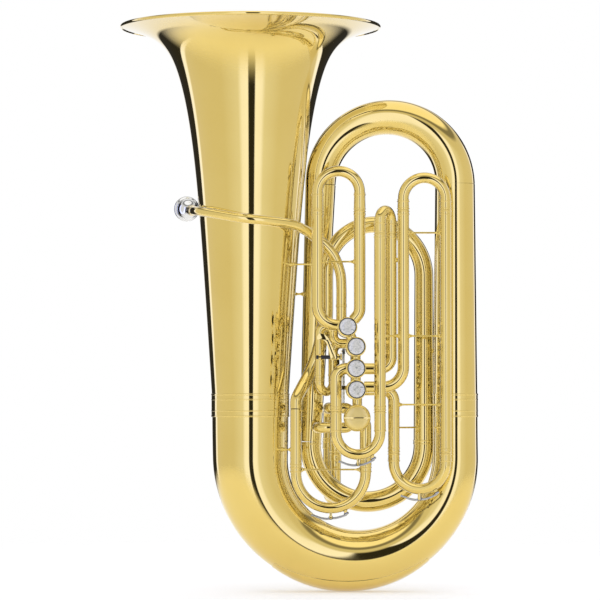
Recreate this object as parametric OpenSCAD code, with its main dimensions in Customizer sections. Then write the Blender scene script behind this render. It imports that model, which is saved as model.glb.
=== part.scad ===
// Contrabass tuba with four front pistons and one rotor. Millimetres, +Z up, bell pointing up.
// X runs across the instrument from the bell side to the outer branch, -Y is the piston side.

/* [Bell] */
// Height of the bell rim above the lowest point of the bottom bow
bell_h = 991; // [900:1:1050]
// Outside radius of the bell at the rim bead
rim_r = 229; // [200:0.5:250]
// Position of the bell axis across the instrument
bell_x = -84.75; // [-120:0.25:-60]
// Wall of the bell
bell_wall = 0.7; // [0.6:0.1:2]
// Height where the bell ends inside its ferrule
bell_foot = 325; // [300:1:350]

/* [Bows and branches] */
// Position of the outer branch across the instrument
branch_x = 273.65; // [240:0.05:300]
// Radius of the outer branch at its lower end
branch_r = 39; // [34:0.5:44]
// Radius of the outer branch at its upper end
branch_top_r = 35; // [30:0.5:40]
// Height of the centre of the bottom bow
bow_z = 235; // [220:0.1:260]
// Height of the centre of the top bow
top_z = 712; // [680:1:740]
// Radius of the top bow at its small end
top_small_r = 26.8; // [22:0.1:32]
// Position across of the upper end of the left branch
left_x = 38.2; // [30:0.1:45]
// Position across of the inner bow's left leg
inner_left_x = 20.7; // [15:0.1:25]
// Position across of the inner bow's right leg
inner_right_x = 220; // [210:0.5:230]
// Depth of the inner bow behind the bell axis
inner_y = 28; // [20:0.5:35]
// Radius of the inner bow tube
inner_r = 18.4; // [16:0.1:20]
// Height of the centre of the inner bow
inner_z = 255.4; // [245:0.1:265]
// Height of the centre of the inner arch
arch_z = 551.8; // [530:0.1:570]
// Wall of the branch tubes
branch_wall = 0.8; // [0.6:0.1:2]

/* [Slides] */
// Outside radius of the fixed slide tubes
outer_r = 10; // [9.5:0.05:10.5]
// Bore radius of the fixed slide tubes
bore_r = 9.4; // [9:0.05:9.6]
// Radial running clearance of a slide leg in its tube
slip = 0.05; // [0.02:0.01:0.1]
// Wall of a slide leg
leg_wall = 0.8; // [0.5:0.1:1.2]
// Outside radius of the ferrule on a slide bow
ferrule_r = 10.9; // [10.2:0.1:12]

/* [Pistons] */
// Outside radius of a piston casing
casing_r = 16; // [15:0.1:17]
// Bore radius of a piston casing
casing_bore = 14.6; // [14:0.1:15]
// Rear end of the casings
casing_back = 20; // [10:1:30]
// Front end of the casings
casing_front = -92; // [-100:1:-80]
// Button radius
button_r = 15.7; // [10:0.1:16]

/* [Rotor] */
// Outside radius of the rotor casing
rotor_r = 22; // [20:0.5:24]
// Bore radius of the rotor casing
rotor_bore = 19; // [17:0.5:20]

/* [Hidden] */
// Rotor axis: across, up
rotor_x = 100.8;
rotor_z = 302.9;
// Piston axes: across, up, first to fourth
piston_x = [83.8, 98.6, 98.6, 99.2];
piston_z = [459.5, 425.5, 388.2, 351.6];
leg_r = bore_r - slip;
// Slide legs: across, depth
s1_lx = 32.5;
s1_rx = 105.5;
s1_y = -66;
s2_lx = 36.4;
s2_ly = -44;
s2_rx = 60;
s2_ry = -24;
s2_outer = 8.4;
s2_bore = 7.9;
s3_lx = 64.4;
s3_rx = 140.3;
s3_y = -80;
s3_back_x = 160.1;
s3_back_y = -50;
s4_lx = 181.4;
s4_rx = 254.5;
s4_y = -58;
s4_low_x = 165.3;
s4_low_y = -36;
main_lx = -4.7;
main_rx = 115.8;
main_y = -50;
s5_ax = 52.6;
s5_ay = 80;
s5_bx = 64.9;
s5_by = 57.6;
brass = [0.82, 0.68, 0.32];
silver = [0.8, 0.8, 0.8];
dark = [0.15, 0.15, 0.15];
pearl = [0.93, 0.92, 0.9];
felt = [0.15, 0.15, 0.17];
$fn = 64;

// ---------- helpers ----------

// Outside radius of the bell a distance d below the rim
function bell_radius(d) = 108.7 - 0.0639 * d + 65.8 * exp(-d / 16) + 54 * exp(-d / 100);

// Outside radius of the bottom bow, t from the bell side (0) to the branch side (1)
function bow_radius(t) = branch_r + 28 * pow(0.5 + 0.5 * cos(180 * t), 1.1);

function unit(v) = v / norm(v);

// Smooth path through control points, n steps per span
function spline_point(p0, p1, p2, p3, t) =
    0.5 * (2 * p1 + (p2 - p0) * t + (2 * p0 - 5 * p1 + 4 * p2 - p3) * t * t
    + (3 * p1 - p0 - 3 * p2 + p3) * t * t * t);

function spline(p, n) = [
    for (i = [0 : len(p) - 2])
        for (k = [0 : (i == len(p) - 2 ? n : n - 1)])
            spline_point(
                p[max(i - 1, 0)], p[i], p[i + 1], p[min(i + 2, len(p) - 1)], k / n)
];

function tangent(c, k) = unit(c[min(k + 1, len(c) - 1)] - c[max(k - 1, 0)]);

// Sideways direction carried along the path without twisting
function carried(c, k, u) =
    let (t = tangent(c, k)) unit(u - (u * t) * t);

function side_list(c, u0, k = 0, list = []) =
    k == len(c) ? list :
    side_list(c, carried(c, k, u0), k + 1, concat(list, [carried(c, k, u0)]));

function ring(c, t, u, r, sides) =
    let (v = cross(t, u))
    [for (i = [0 : sides - 1])
        c + r * (cos(360 * i / sides) * u + sin(360 * i / sides) * v)];

// Angles of a half turn in n steps, with a close pair at each end so that the end rings stand square
function square_ends(n) = concat([0, 0.2], [for (k = [1 : n - 1]) 180 * k / n], [179.8, 180]);

// Hollow tube along centres c with outside radii ro and wall w
module sweep(c, ro, w, u0, sides) {
    n = len(c);
    us = side_list(c, u0);
    outer = [for (k = [0 : n - 1]) each ring(c[k], tangent(c, k), us[k], ro[k], sides)];
    inner = [for (k = [0 : n - 1]) each ring(c[k], tangent(c, k), us[k], ro[k] - w, sides)];
    off = n * sides;
    side_faces = [
        for (k = [0 : n - 2])
            for (i = [0 : sides - 1])
                let (
                    j = (i + 1) % sides,
                    a = k * sides + i, b = k * sides + j,
                    d = (k + 1) * sides + i, e = (k + 1) * sides + j)
                each [
                    [a, e, b], [a, d, e],
                    [off + a, off + b, off + e], [off + a, off + e, off + d]
                ]
    ];
    last = (n - 1) * sides;
    end_faces = [
        for (i = [0 : sides - 1])
            let (j = (i + 1) % sides)
            each [
                [i, j, off + j], [i, off + j, off + i],
                [last + i, off + last + j, last + j],
                [last + i, off + last + i, off + last + j]
            ]
    ];
    polyhedron(points = concat(outer, inner), faces = concat(side_faces, end_faces));
}

// Upright tube
module tube(x, y, z0, z1, ro, ri) {
    translate([x, y, z0])
        difference() {
            cylinder(h = z1 - z0, r = ro);
            translate([0, 0, -1])
                cylinder(h = z1 - z0 + 2, r = ri);
        }
}

// Bend of constant radius in the XZ plane about the origin, from angle a through da
module bend(R, ro, ri, a, da) {
    rotate([90, 0, 0])
        rotate([0, 0, a])
            rotate_extrude(angle = da)
                translate([R, 0])
                    difference() {
                        circle(r = ro);
                        circle(r = ri);
                    }
}

// Solid bend, for cutting
module solid_bend(R, ro, a, da) {
    rotate([90, 0, 0])
        rotate([0, 0, a])
            rotate_extrude(angle = da)
                translate([R, 0])
                    circle(r = ro);
}

// Straight tube from p to q
module tube_between(p, q, ro, ri) {
    v = q - p;
    translate(p)
        rotate([0, acos(v[2] / norm(v)), atan2(v[1], v[0])])
            difference() {
                cylinder(h = norm(v), r = ro);
                translate([0, 0, -1])
                    cylinder(h = norm(v) + 2, r = ri);
            }
}

module rod_between(p, q, r) {
    v = q - p;
    translate(p)
        rotate([0, acos(v[2] / norm(v)), atan2(v[1], v[0])])
            cylinder(h = norm(v), r = r);
}

// Solid bodies of the piston and rotor casings, used to cut tubes to fit
module casing_solids(gap = 0.02) {
    for (i = [0 : 3])
        translate([piston_x[i], casing_back + 8, piston_z[i]])
            rotate([90, 0, 0])
                cylinder(h = casing_back + 8 - casing_front + 12, r = casing_r + gap);
}

module rotor_solid(gap = 0.02) {
    translate([rotor_x, -8, rotor_z])
        rotate([90, 0, 0])
            cylinder(h = 62, r = rotor_r + gap);
}

// Brace rod between two upright tubes, with a round foot fitted to each
module strut(a, ra, b, rb, z) {
    v = unit([b[0] - a[0], b[1] - a[1], 0]);
    p = [a[0], a[1], z];
    q = [b[0], b[1], z];
    difference() {
        union() {
            rod_between(p + (ra - 1) * v, q - (rb - 1) * v, 1.6);
            rod_between(p + (ra - 1) * v, p + (ra + 1.4) * v, 4.2);
            rod_between(q - (rb + 1.4) * v, q - (rb - 1) * v, 4.2);
        }
        translate([a[0], a[1], z - 20])
            cylinder(h = 40, r = ra + 0.02);
        translate([b[0], b[1], z - 20])
            cylinder(h = 40, r = rb + 0.02);
    }
}

// Slide: two legs, ferrules and a half-round bow. The bow hangs from height zb.
// up = 1 opens the bow upward (legs point down), up = -1 hangs the bow below the legs
module slide_u(x0, y0, x1, y1, zb, z_open, leg_len, up, ro = leg_r, wall = leg_wall, rf = ferrule_r) {
    d = norm([x1 - x0, y1 - y0]);
    a = atan2(y1 - y0, x1 - x0);
    R = d / 2;
    zf = z_open;
    translate([x0, y0, zb])
        rotate([0, 0, a]) {
            translate([R, 0, 0])
                bend(R, ro, ro - wall, up > 0 ? 0 : 180, 180);
            for (s = [0, 1])
                translate([s * d, 0, 0]) {
                    tube(0, 0, up > 0 ? zf - zb - leg_len : 0,
                        up > 0 ? 0 : zf - zb + leg_len, ro, ro - wall);
                    tube(0, 0, up > 0 ? zf - zb + 0.4 : 1,
                        up > 0 ? -1 : zf - zb - 0.4, rf, ro - 0.05);
                }
        }
}

// ---------- bell and large tubing ----------

module bell() {
    steps = 40;
    depth = bell_h - bell_foot - 4;
    function at(k) = 1 + (depth - 1) * pow(k / steps, 2.2);
    outer = [for (k = [0 : steps]) [bell_radius(at(k)), bell_h - 4 - at(k)]];
    inner = [
        for (k = [steps : -1 : 0])
            [bell_radius(at(k)) - bell_wall * (at(k) < 12 ? 1 : 1), bell_h - 4 - at(k)
            + (at(k) < 12 ? 1.2 : 0)]
    ];
    color(brass)
        translate([bell_x, 0, 0])
            rotate_extrude($fn = 128)
                polygon(concat(outer, inner));
}

module bell_rim() {
    color(brass)
        translate([bell_x, 0, 0])
            rotate_extrude($fn = 128)
                polygon([
                    [rim_r - 5.5, bell_h], [rim_r - 1.5, bell_h], [rim_r - 0.4, bell_h - 1],
                    [rim_r, bell_h - 3], [rim_r - 0.4, bell_h - 5], [rim_r - 2, bell_h - 6.4],
                    [rim_r - 4.2, bell_h - 6.4], [bell_radius(1) + 0.02, bell_h - 5.8],
                    [bell_radius(1) + 0.02, bell_h - 2.6],
                    [rim_r - 7, bell_h - 2.4], [rim_r - 7, bell_h - 1]
                ]);
}

// Ferrule band from z = 304.5 to 345.5; inside radius ri at the bottom and rt at the top
module ferrule_band(ri, rt) {
    r = rt;
    rotate_extrude($fn = 96)
        polygon([
            [ri, 304.5], [r + 0.8, 304.5], [r + 1, 306], [r + 0.8, 307.5], [r + 0.5, 308],
            [r + 0.5, 314], [r + 0.9, 314.5], [r + 0.9, 316], [r + 0.5, 316.5],
            [r + 0.5, 333.5], [r + 0.9, 334], [r + 0.9, 335.5], [r + 0.5, 336],
            [r + 0.5, 342], [r + 0.8, 342.5], [r + 1, 344], [r + 0.8, 345.5],
            [rt, 345.5], [ri, 325]
        ]);
}

module bell_ferrule() {
    color(brass)
        translate([bell_x, 0, 0])
            ferrule_band(branch_r + 28.05, bell_radius(bell_h - 4 - 345.5) + 0.1);
}

// Centre line of the bottom bow: leg, half round, leg
function bow_centre(t) =
    let (
        R = (branch_x - bell_x) / 2, leg = 322 - bow_z, arc = PI * R,
        s = t * (2 * leg + arc), a = 180 + 180 * (s - leg) / arc)
    s < leg ? [bell_x, 0, 322 - s] :
    s > leg + arc ? [branch_x, 0, bow_z + s - leg - arc] :
    [bell_x + R + R * cos(a), 0, bow_z + R * sin(a)];

module bottom_bow() {
    n = 40;
    c = [for (k = [0 : n]) bow_centre(k / n)];
    r = [for (k = [0 : n]) bow_radius(k / n)];
    color(brass)
        sweep(c, r, branch_wall, [1, 0, 0], 36);
}

// Guard strip along the underside of the bottom bow; it is the lowest part
module bow_guard() {
    n = 20;
    m = 8;
    w = 2 * (m + 1);
    drop = bow_z - (branch_x - bell_x) / 2 - bow_radius(0.5);
    pts = [
        for (k = [0 : n])
            let (
                u = 2 * k / n - 1, t = 0.5 + 0.155 * u, c = bow_centre(t),
                g = bow_centre(t + 0.001) - bow_centre(t - 0.001),
                d = unit([g[2], 0, -g[0]]),
                th = 1.05 + (drop - 1.05) * (1 - pow(abs(u), 3)),
                f = 46 - 16 * u * u)
            each concat(
                [for (i = [0 : m])
                    let (a = -f + 2 * f * i / m)
                    c + (bow_radius(t) + th) * (cos(a) * d + sin(a) * [0, 1, 0])],
                [for (i = [m : -1 : 0])
                    let (a = -f + 2 * f * i / m)
                    c + (bow_radius(t) + 0.5) * (cos(a) * d + sin(a) * [0, 1, 0])])
    ];
    faces = [
        for (k = [0 : n - 1])
            for (i = [0 : w - 1])
                let (j = (i + 1) % w, a = k * w + i, b = k * w + j, c = a + w, e = b + w)
                each [[a, e, b], [a, c, e]]
    ];
    caps = [
        for (k = [0, n])
            for (i = [0 : m - 1])
                let (a = k * w + i, b = a + 1, e = k * w + w - 1 - i, d = e - 1)
                each (k == 0 ? [[a, b, d], [a, d, e]] : [[a, d, b], [a, e, d]])
    ];
    color(brass)
        polyhedron(points = pts, faces = concat(faces, caps));
}

module branch_ferrule() {
    color(brass)
        translate([branch_x, 0, 0])
            ferrule_band(branch_r + 0.05, branch_r + 0.1);
    // Pointed ornament below the band
    color(brass)
        translate([branch_x, 0, 0])
            intersection() {
                difference() {
                    cylinder(h = 304.4, r = branch_r + 1.7);
                    translate([0, 0, -1])
                        cylinder(h = 310, r = branch_r + 0.7);
                }
                translate([0, -20, 304])
                    rotate([90, 0, 0])
                        linear_extrude(height = 40)
                            polygon([[-9, 0], [9, 0], [4, -6], [0, -17], [-4, -6]]);
            }
}

module outer_branch() {
    color(brass)
        translate([branch_x, 0, 322.1])
            difference() {
                cylinder(h = top_z - 322.1, r1 = branch_r, r2 = branch_top_r);
                translate([0, 0, -0.01])
                    cylinder(
                        h = top_z - 322.08, r1 = branch_r - branch_wall,
                        r2 = branch_top_r - branch_wall);
            }
}

module top_bow() {
    n = 28;
    half = norm([branch_x - left_x, 20]) / 2;
    a = atan2(-20, branch_x - left_x);
    gs = square_ends(n);
    c = [
        for (g = gs)
            [(left_x + branch_x) / 2 + half * cos(g) * cos(a),
             10 + half * cos(g) * sin(a), top_z + 0.1 + half * sin(g)]
    ];
    r = [for (g = gs) branch_top_r + (top_small_r - branch_top_r) * pow(g / 180, 0.85)];
    color(brass)
        sweep(c, r, branch_wall, [1, 0, 0], 32);
}

module left_branch() {
    p = [left_x, 20, top_z - 1.3];
    q = [inner_left_x, inner_y, inner_z + 6];
    v = p - q;
    color(brass)
        translate(q)
            rotate([0, acos(v[2] / norm(v)), atan2(v[1], v[0])])
                difference() {
                    cylinder(h = norm(v), r1 = inner_r + 0.4, r2 = top_small_r);
                    translate([0, 0, -0.01])
                        cylinder(
                            h = norm(v) + 0.02, r1 = inner_r + 0.4 - branch_wall,
                            r2 = top_small_r - branch_wall);
                }
}

module inner_bow() {
    R = (inner_right_x - inner_left_x) / 2;
    color(brass)
        translate([inner_left_x, inner_y, inner_z]) {
            translate([R, 0, 0])
                bend(R, inner_r, inner_r - branch_wall, 180, 180);
            for (p = [[0, 5], [2 * R, 9]])
                translate([p[0], 0, 0]) {
                    tube(0, 0, 0, p[1], inner_r, inner_r - branch_wall);
                    tube(0, 0, 1, p[1] - 0.5, inner_r + 1.2, inner_r - 0.3);
                }
        }
}

module inner_branch() {
    color(brass)
        translate([inner_right_x, inner_y, inner_z + 9.1])
            difference() {
                cylinder(h = arch_z - inner_z - 9.2, r1 = inner_r - 0.05, r2 = 16.6);
                translate([0, 0, -0.01])
                    cylinder(
                        h = arch_z - inner_z - 9.18, r1 = inner_r - branch_wall,
                        r2 = 16.6 - branch_wall);
            }
}

module inner_arch() {
    n = 24;
    d = norm([inner_right_x - 47.5, inner_y + 21]) / 2;
    a = atan2(inner_y + 21, inner_right_x - 47.5);
    gs = square_ends(n);
    c = [
        for (g = gs)
            [(inner_right_x + 47.5) / 2 + d * cos(g) * cos(a),
             (inner_y - 21) / 2 + d * cos(g) * sin(a), arch_z + d * sin(g)]
    ];
    r = [for (g = gs) 16.6 - 3.9 * g / 180];
    color(brass)
        sweep(c, r, 1, [1, 0, 0], 24);
}

module inner_crook() {
    run = spline([
        [47.5, -21, arch_z - 0.1], [47.5, -21, 520], [47.4, -21, 490], [45.8, -20, 466],
        [39, -17, 438], [31, -16, 408], [18, -22, 378], [5.7, -36, 355],
        [-3.6, -47, 336], [main_lx, main_y, 319]
    ], 3);
    c = concat(run, [[main_lx, main_y, 318]]);
    n = len(c) - 1;
    r = [for (k = [0 : n]) k / n < 0.25 ? 12.6 : 12.6 - 2.6 * (k / n - 0.25) / 0.75];
    color(brass)
        sweep(c, r, 0.8, [1, 0, 0], 18);
}

module leadpipe() {
    c = spline([
        [-183.5, -25, 664], [-180.5, -41, 663], [-169, -64, 660.5], [-141, -88, 655],
        [-100, -101.8, 647.5], [-56, -98.2, 643], [-12, -77, 637.5], [10, -58, 629],
        [28, -46.5, 617], [46, -45, 603], [62, -45, 583], [72, -45, 555],
        [74, -45, 530], [74, -45, 500], [74, -45, 480]
    ], 3);
    n = len(c) - 1;
    r = [for (k = [0 : n]) 7.6 + 1.4 * min(1, 1.4 * k / n)];
    color(brass)
        sweep(c, r, 1, [0, 0, 1], 18);
    color(brass)
        difference() {
            tube(74, -45, 464, 479.9, 9, 8);
            casing_solids();
        }
}

module mouth_frame() {
    translate([-183.5, -25, 664])
        rotate([-90, 0, 0])
            rotate([0, -9, 0])
                rotate([5, 0, 0])
                    children();
}

module receiver() {
    color(brass)
        mouth_frame()
            difference() {
                union() {
                    translate([0, 0, 0.2])
                        cylinder(h = 26, r1 = 8.2, r2 = 8.6);
                    translate([0, 0, 22])
                        cylinder(h = 4.2, r = 9.6);
                }
                translate([0, 0, 0.1])
                    cylinder(h = 27, r = 6.1);
            }
}

module mouthpiece() {
    color(silver)
        mouth_frame()
            difference() {
                rotate_extrude()
                    polygon([
                        [3.6, 4], [6.05, 4], [6.05, 26], [5.9, 34], [6.4, 42], [8.6, 52],
                        [12.6, 60], [16, 66], [17.8, 74], [18.4, 84], [18.2, 88],
                        [20.2, 91], [22.3, 95], [22.4, 98], [21.4, 100.4], [19.6, 101.2],
                        [17.4, 100.6], [16.2, 98.6], [15.4, 92], [13.6, 82], [9.6, 72],
                        [5, 63], [4, 58]
                    ]);
            }
}

// ---------- valves ----------

module valve_casings() {
    color(brass)
        difference() {
            union() {
                for (i = [0 : 3])
                    translate([piston_x[i], casing_back, piston_z[i]])
                        rotate([90, 0, 0])
                            cylinder(h = casing_back - casing_front, r = casing_r);
                for (i = [0 : 2])
                    for (y = [-62, -6])
                        rod_between(
                            [piston_x[i], y, piston_z[i]],
                            [piston_x[i + 1], y, piston_z[i + 1]], 8.5);
                rod_between(
                    [piston_x[3] + 2.4, -38, piston_z[3]], [piston_x[3] + 2.4, -38, 318], 8.5);
            }
            for (i = [0 : 3])
                translate([piston_x[i], casing_back + 1, piston_z[i]])
                    rotate([90, 0, 0])
                        cylinder(h = casing_back - casing_front + 2, r = casing_bore);
            rotor_solid();
        }
}

// Threaded cap with a bore for the stem, one per piston
module top_caps() {
    color(brass)
        for (i = [0 : 3])
            translate([piston_x[i], 0, piston_z[i]])
                rotate([90, 0, 0])
                    translate([0, 0, -casing_front + 0.02])
                        difference() {
                            union() {
                                cylinder(h = 9, r = 17.4);
                                translate([0, 0, 9])
                                    cylinder(h = 2, r1 = 17.4, r2 = 14);
                            }
                            translate([0, 0, -1])
                                cylinder(h = 14, r = 3.6);
                            translate([0, 0, -1])
                                cylinder(h = 7, r = casing_bore - 1);
                            for (a = [0 : 15 : 345])
                                rotate([0, 0, a])
                                    translate([18, 0, 2])
                                        cylinder(h = 5, r = 1);
                        }
}

module bottom_caps() {
    color(brass)
        for (i = [0 : 3])
            translate([piston_x[i], casing_back + 0.02, piston_z[i]])
                rotate([-90, 0, 0])
                    difference() {
                        union() {
                            cylinder(h = 7, r = 17.2);
                            translate([0, 0, 7])
                                cylinder(h = 3, r1 = 13, r2 = 9);
                        }
                        translate([0, 0, -1])
                            cylinder(h = 5, r = casing_bore - 1);
                        translate([0, 0, 3])
                            cylinder(h = 9, r = 3);
                    }
}

// Piston with its stem and button cup; i counts from 0
module piston(i) {
    color(brass)
        translate([piston_x[i], 0, piston_z[i]])
            rotate([90, 0, 0])
                difference() {
                    union() {
                        translate([0, 0, 2])
                            cylinder(h = 84, r = casing_bore - 0.05);
                        translate([0, 0, 85])
                            cylinder(h = 49, r = 3.2);
                        translate([0, 0, 131])
                            cylinder(h = 2, r1 = 7, r2 = button_r);
                        translate([0, 0, 133])
                            cylinder(h = 6.6, r = button_r);
                    }
                    translate([0, 0, 135.4])
                        cylinder(h = 5, r = button_r - 1.5);
                    // Straight and loop passages through the piston
                    for (z = [18, 38, 62])
                        translate([-20, 0, z])
                            rotate([0, 90, 0])
                                cylinder(h = 40, r = 8);
                    translate([0, 0, 1])
                        cylinder(h = 6, r = 11);
                }
}

module piston_1() {
    piston(0);
}

module piston_2() {
    piston(1);
}

module piston_3() {
    piston(2);
}

module piston_4() {
    piston(3);
}

// Mother-of-pearl disc set in the button
module pearl_disc(i) {
    color(pearl)
        translate([piston_x[i], 0, piston_z[i]])
            rotate([90, 0, 0])
                translate([0, 0, 135.42]) {
                    cylinder(h = 3.6, r = button_r - 1.54);
                    translate([0, 0, 3.6])
                        cylinder(h = 1.2, r1 = button_r - 1.54, r2 = button_r - 5);
                }
}

module pearl_1() {
    pearl_disc(0);
}

module pearl_2() {
    pearl_disc(1);
}

module pearl_3() {
    pearl_disc(2);
}

module pearl_4() {
    pearl_disc(3);
}

// ---------- fixed valve tubing ----------

module first_tubes() {
    R = 22;
    turn = 40;
    color(brass)
        difference() {
            union() {
                tube(s1_lx, s1_y, 497.5, 658, outer_r, bore_r);
                translate([s1_lx + 34, s1_y, 497.5])
                    bend(34, outer_r, bore_r, 180, 90);
                rod_tube_x(s1_lx + 34, 78, s1_y, 463.5, outer_r, bore_r);
                tube(s1_lx, s1_y, 654, 658, outer_r + 0.8, outer_r - 0.3);
            }
            casing_solids();
        }
    color(brass)
        difference() {
            translate([s1_rx - R, s1_y, 493])
                rotate([0, turn, 0]) {
                    bend(R, outer_r, bore_r, 0, turn);
                    tube(R, 0, -16, 0, outer_r, bore_r);
                }
            casing_solids();
        }
    color(brass) {
        tube(s1_rx, s1_y, 493.01, 658, outer_r, bore_r);
        tube(s1_rx, s1_y, 654, 658, outer_r + 0.8, outer_r - 0.3);
    }
}

module second_tubes() {
    crown = (s2_rx - s2_lx) / 2;
    color(brass)
        difference() {
            union() {
                tube(s2_lx, s2_ly, 375, 450, s2_outer, s2_bore);
                translate([s2_lx + crown, s2_ly, 450])
                    bend(crown, s2_outer, s2_bore, 0, 180);
                tube(s2_rx, s2_ly, 446, 450, s2_outer, s2_bore);
                translate([s2_rx + 14, s2_ly, 446])
                    bend(14, s2_outer, s2_bore, 180, 90);
                rod_tube_x(s2_rx + 14, 90, s2_ly, 432, s2_outer, s2_bore);
                tube(s2_rx, s2_ry, 375, 418, s2_outer, s2_bore);
                translate([s2_rx + 14, s2_ry, 418])
                    bend(14, s2_outer, s2_bore, 180, -90);
                rod_tube_x(s2_rx + 14, 90, s2_ry, 432, s2_outer, s2_bore);
                tube(s2_lx, s2_ly, 375, 379, s2_outer + 0.8, s2_outer);
                tube(s2_rx, s2_ry, 375, 379, s2_outer + 0.8, s2_outer);
            }
            casing_solids();
        }
}

// Tube along X between x0 and x1
module rod_tube_x(x0, x1, y, z, ro, ri) {
    translate([x0, y, z])
        rotate([0, 90, 0])
            difference() {
                cylinder(h = x1 - x0, r = ro);
                translate([0, 0, -1])
                    cylinder(h = x1 - x0 + 2, r = ri);
            }
}

module third_left_tube() {
    color(brass)
        difference() {
            union() {
                tube(s3_lx, s3_y, 321, 370.2, outer_r, bore_r);
                translate([s3_lx + 18, s3_y, 370.2])
                    bend(18, outer_r, bore_r, 180, -90);
                rod_tube_x(s3_lx + 18, 90, s3_y, 388.2, outer_r, bore_r);
                tube(s3_lx, s3_y, 321, 325, outer_r + 0.8, outer_r);
            }
            casing_solids();
        }
}

module third_long_tube() {
    color(brass) {
        tube(s3_rx, s3_y, 321, 617.5, outer_r, bore_r);
        tube(s3_rx, s3_y, 321, 325, outer_r + 0.8, outer_r);
        tube(s3_rx, s3_y, 613.5, 617.5, outer_r + 0.8, outer_r);
    }
}

module third_back_tube() {
    color(brass)
        difference() {
            union() {
                tube(s3_back_x, s3_back_y, 408.2, 617.5, outer_r, bore_r);
                tube(s3_back_x, s3_back_y, 613.5, 617.5, outer_r + 0.8, outer_r);
                translate([s3_back_x - 20, s3_back_y, 408.2])
                    bend(20, outer_r, bore_r, 0, -90);
                rod_tube_x(105, s3_back_x - 20, s3_back_y, 388.2, outer_r, bore_r);
            }
            casing_solids();
        }
}

module fourth_left_tube() {
    color(brass)
        difference() {
            union() {
                tube(s4_lx, s4_y, 391.2, 659, outer_r, bore_r);
                tube(s4_lx, s4_y, 655, 659, outer_r + 0.8, outer_r);
                translate([s4_lx - 34.7, s4_y, 391.2])
                    bend(34.7, outer_r, bore_r, 0, -90);
                rod_tube_x(102, s4_lx - 34.7, s4_y, 356.5, outer_r, bore_r);
            }
            casing_solids();
        }
}

module fourth_long_tube() {
    color(brass) {
        tube(s4_rx, s4_y, 248.6, 659, outer_r, bore_r);
        tube(s4_rx, s4_y, 248.6, 252.6, outer_r + 0.8, outer_r);
        tube(s4_rx, s4_y, 655, 659, outer_r + 0.8, outer_r);
    }
}

module fourth_low_tube() {
    color(brass)
        difference() {
            union() {
                tube(s4_low_x, s4_low_y, 248.6, 331.6, outer_r, bore_r);
                tube(s4_low_x, s4_low_y, 248.6, 252.6, outer_r + 0.8, outer_r);
                translate([s4_low_x - 20, s4_low_y, 331.6])
                    bend(20, outer_r, bore_r, 0, 90);
                rod_tube_x(105, s4_low_x - 20, s4_low_y, 351.6, outer_r, bore_r);
            }
            casing_solids();
        }
}

module tuning_tubes() {
    color(brass)
        difference() {
            union() {
                tube(main_lx, main_y, 221, 317.9, outer_r, bore_r);
                tube(main_rx, main_y, 221, 288, outer_r, bore_r);
                translate([main_rx - 11, main_y, 288])
                    bend(11, outer_r, bore_r, 0, 45);
                for (x = [main_lx, main_rx])
                    tube(x, main_y, 221, 225, outer_r + 0.8, outer_r);
            }
            rotor_solid();
        }
}

// ---------- rotor ----------

module rotor_casing() {
    color(brass)
        translate([rotor_x, -8, rotor_z])
            rotate([90, 0, 0])
                difference() {
                    cylinder(h = 62, r = rotor_r);
                    translate([0, 0, 3])
                        cylinder(h = 60, r = rotor_bore);
                    translate([0, 0, -1])
                        cylinder(h = 6, r = 4.06);
                }
}

// Screwed front cap with a raised bar across it
module rotor_cap() {
    color(brass)
        translate([rotor_x, -70.02, rotor_z])
            rotate([90, 0, 0])
                difference() {
                    union() {
                        cylinder(h = 4, r = 23.4);
                        translate([0, 0, 4])
                            cylinder(h = 1.4, r1 = 23.4, r2 = 21.6);
                        translate([-23, -1.2, 5.4])
                            cube([46, 2.4, 1]);
                    }
                    translate([0, 0, -1])
                        cylinder(h = 2.5, r = 12);
                }
}

fifth_r = 9.3;
fifth_bore = 8.7;
port_R = 10;

// Elbow from the rotor port at 45 degrees to a tube running left; side = 1 above, -1 below
module port_elbow(side) {
    translate([
        rotor_x - (17 - 0.2929 * port_R) - 0.7071 * port_R, main_y,
        rotor_z + side * (17 - port_R)])
        mirror([0, 0, side > 0 ? 1 : 0])
            bend(port_R, fifth_r, fifth_bore, -90, 45);
}

// Upper port: left, then straight back and down
module fifth_upper_tube() {
    z = rotor_z + 17;
    x1 = rotor_x - (17 - 0.2929 * port_R) - 0.7071 * port_R;
    color(brass)
        difference() {
            union() {
                port_elbow(1);
                rod_tube_x(s5_ax + 16, x1, main_y, z, fifth_r, fifth_bore);
                translate([s5_ax + 16, main_y + 16, z])
                    rotate([-90, 0, 0])
                        bend(16, fifth_r, fifth_bore, 180, 90);
                tube_between(
                    [s5_ax, main_y + 16, z], [s5_ax, s5_ay - 16, z], fifth_r, fifth_bore);
                translate([s5_ax, s5_ay - 16, z - 16])
                    rotate([0, 0, 90])
                        bend(16, fifth_r, fifth_bore, 0, 90);
                tube(s5_ax, s5_ay, 262, z - 16, outer_r, bore_r);
            }
            rotor_solid();
        }
}

// Lower port: round to the left and back again, then straight back and down
module fifth_lower_tube() {
    z = rotor_z - 17;
    x1 = rotor_x - (17 - 0.2929 * port_R) - 0.7071 * port_R;
    color(brass)
        difference() {
            union() {
                port_elbow(-1);
                rod_tube_x(48.9, x1, main_y, z, fifth_r, fifth_bore);
                translate([48.9, main_y + 16, z])
                    rotate([-90, 0, 0])
                        bend(16, fifth_r, fifth_bore, 90, 180);
                translate([48.9, main_y + 48, z])
                    rotate([-90, 0, 0])
                        bend(16, fifth_r, fifth_bore, 270, 90);
                tube_between(
                    [s5_bx, main_y + 48, z], [s5_bx, s5_by - 13, z], fifth_r, fifth_bore);
                translate([s5_bx, s5_by - 13, z - 13])
                    rotate([0, 0, 90])
                        bend(13, fifth_r, fifth_bore, 0, 90);
                tube(s5_bx, s5_by, 240, z - 13, outer_r, bore_r);
            }
            rotor_solid();
        }
}

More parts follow.
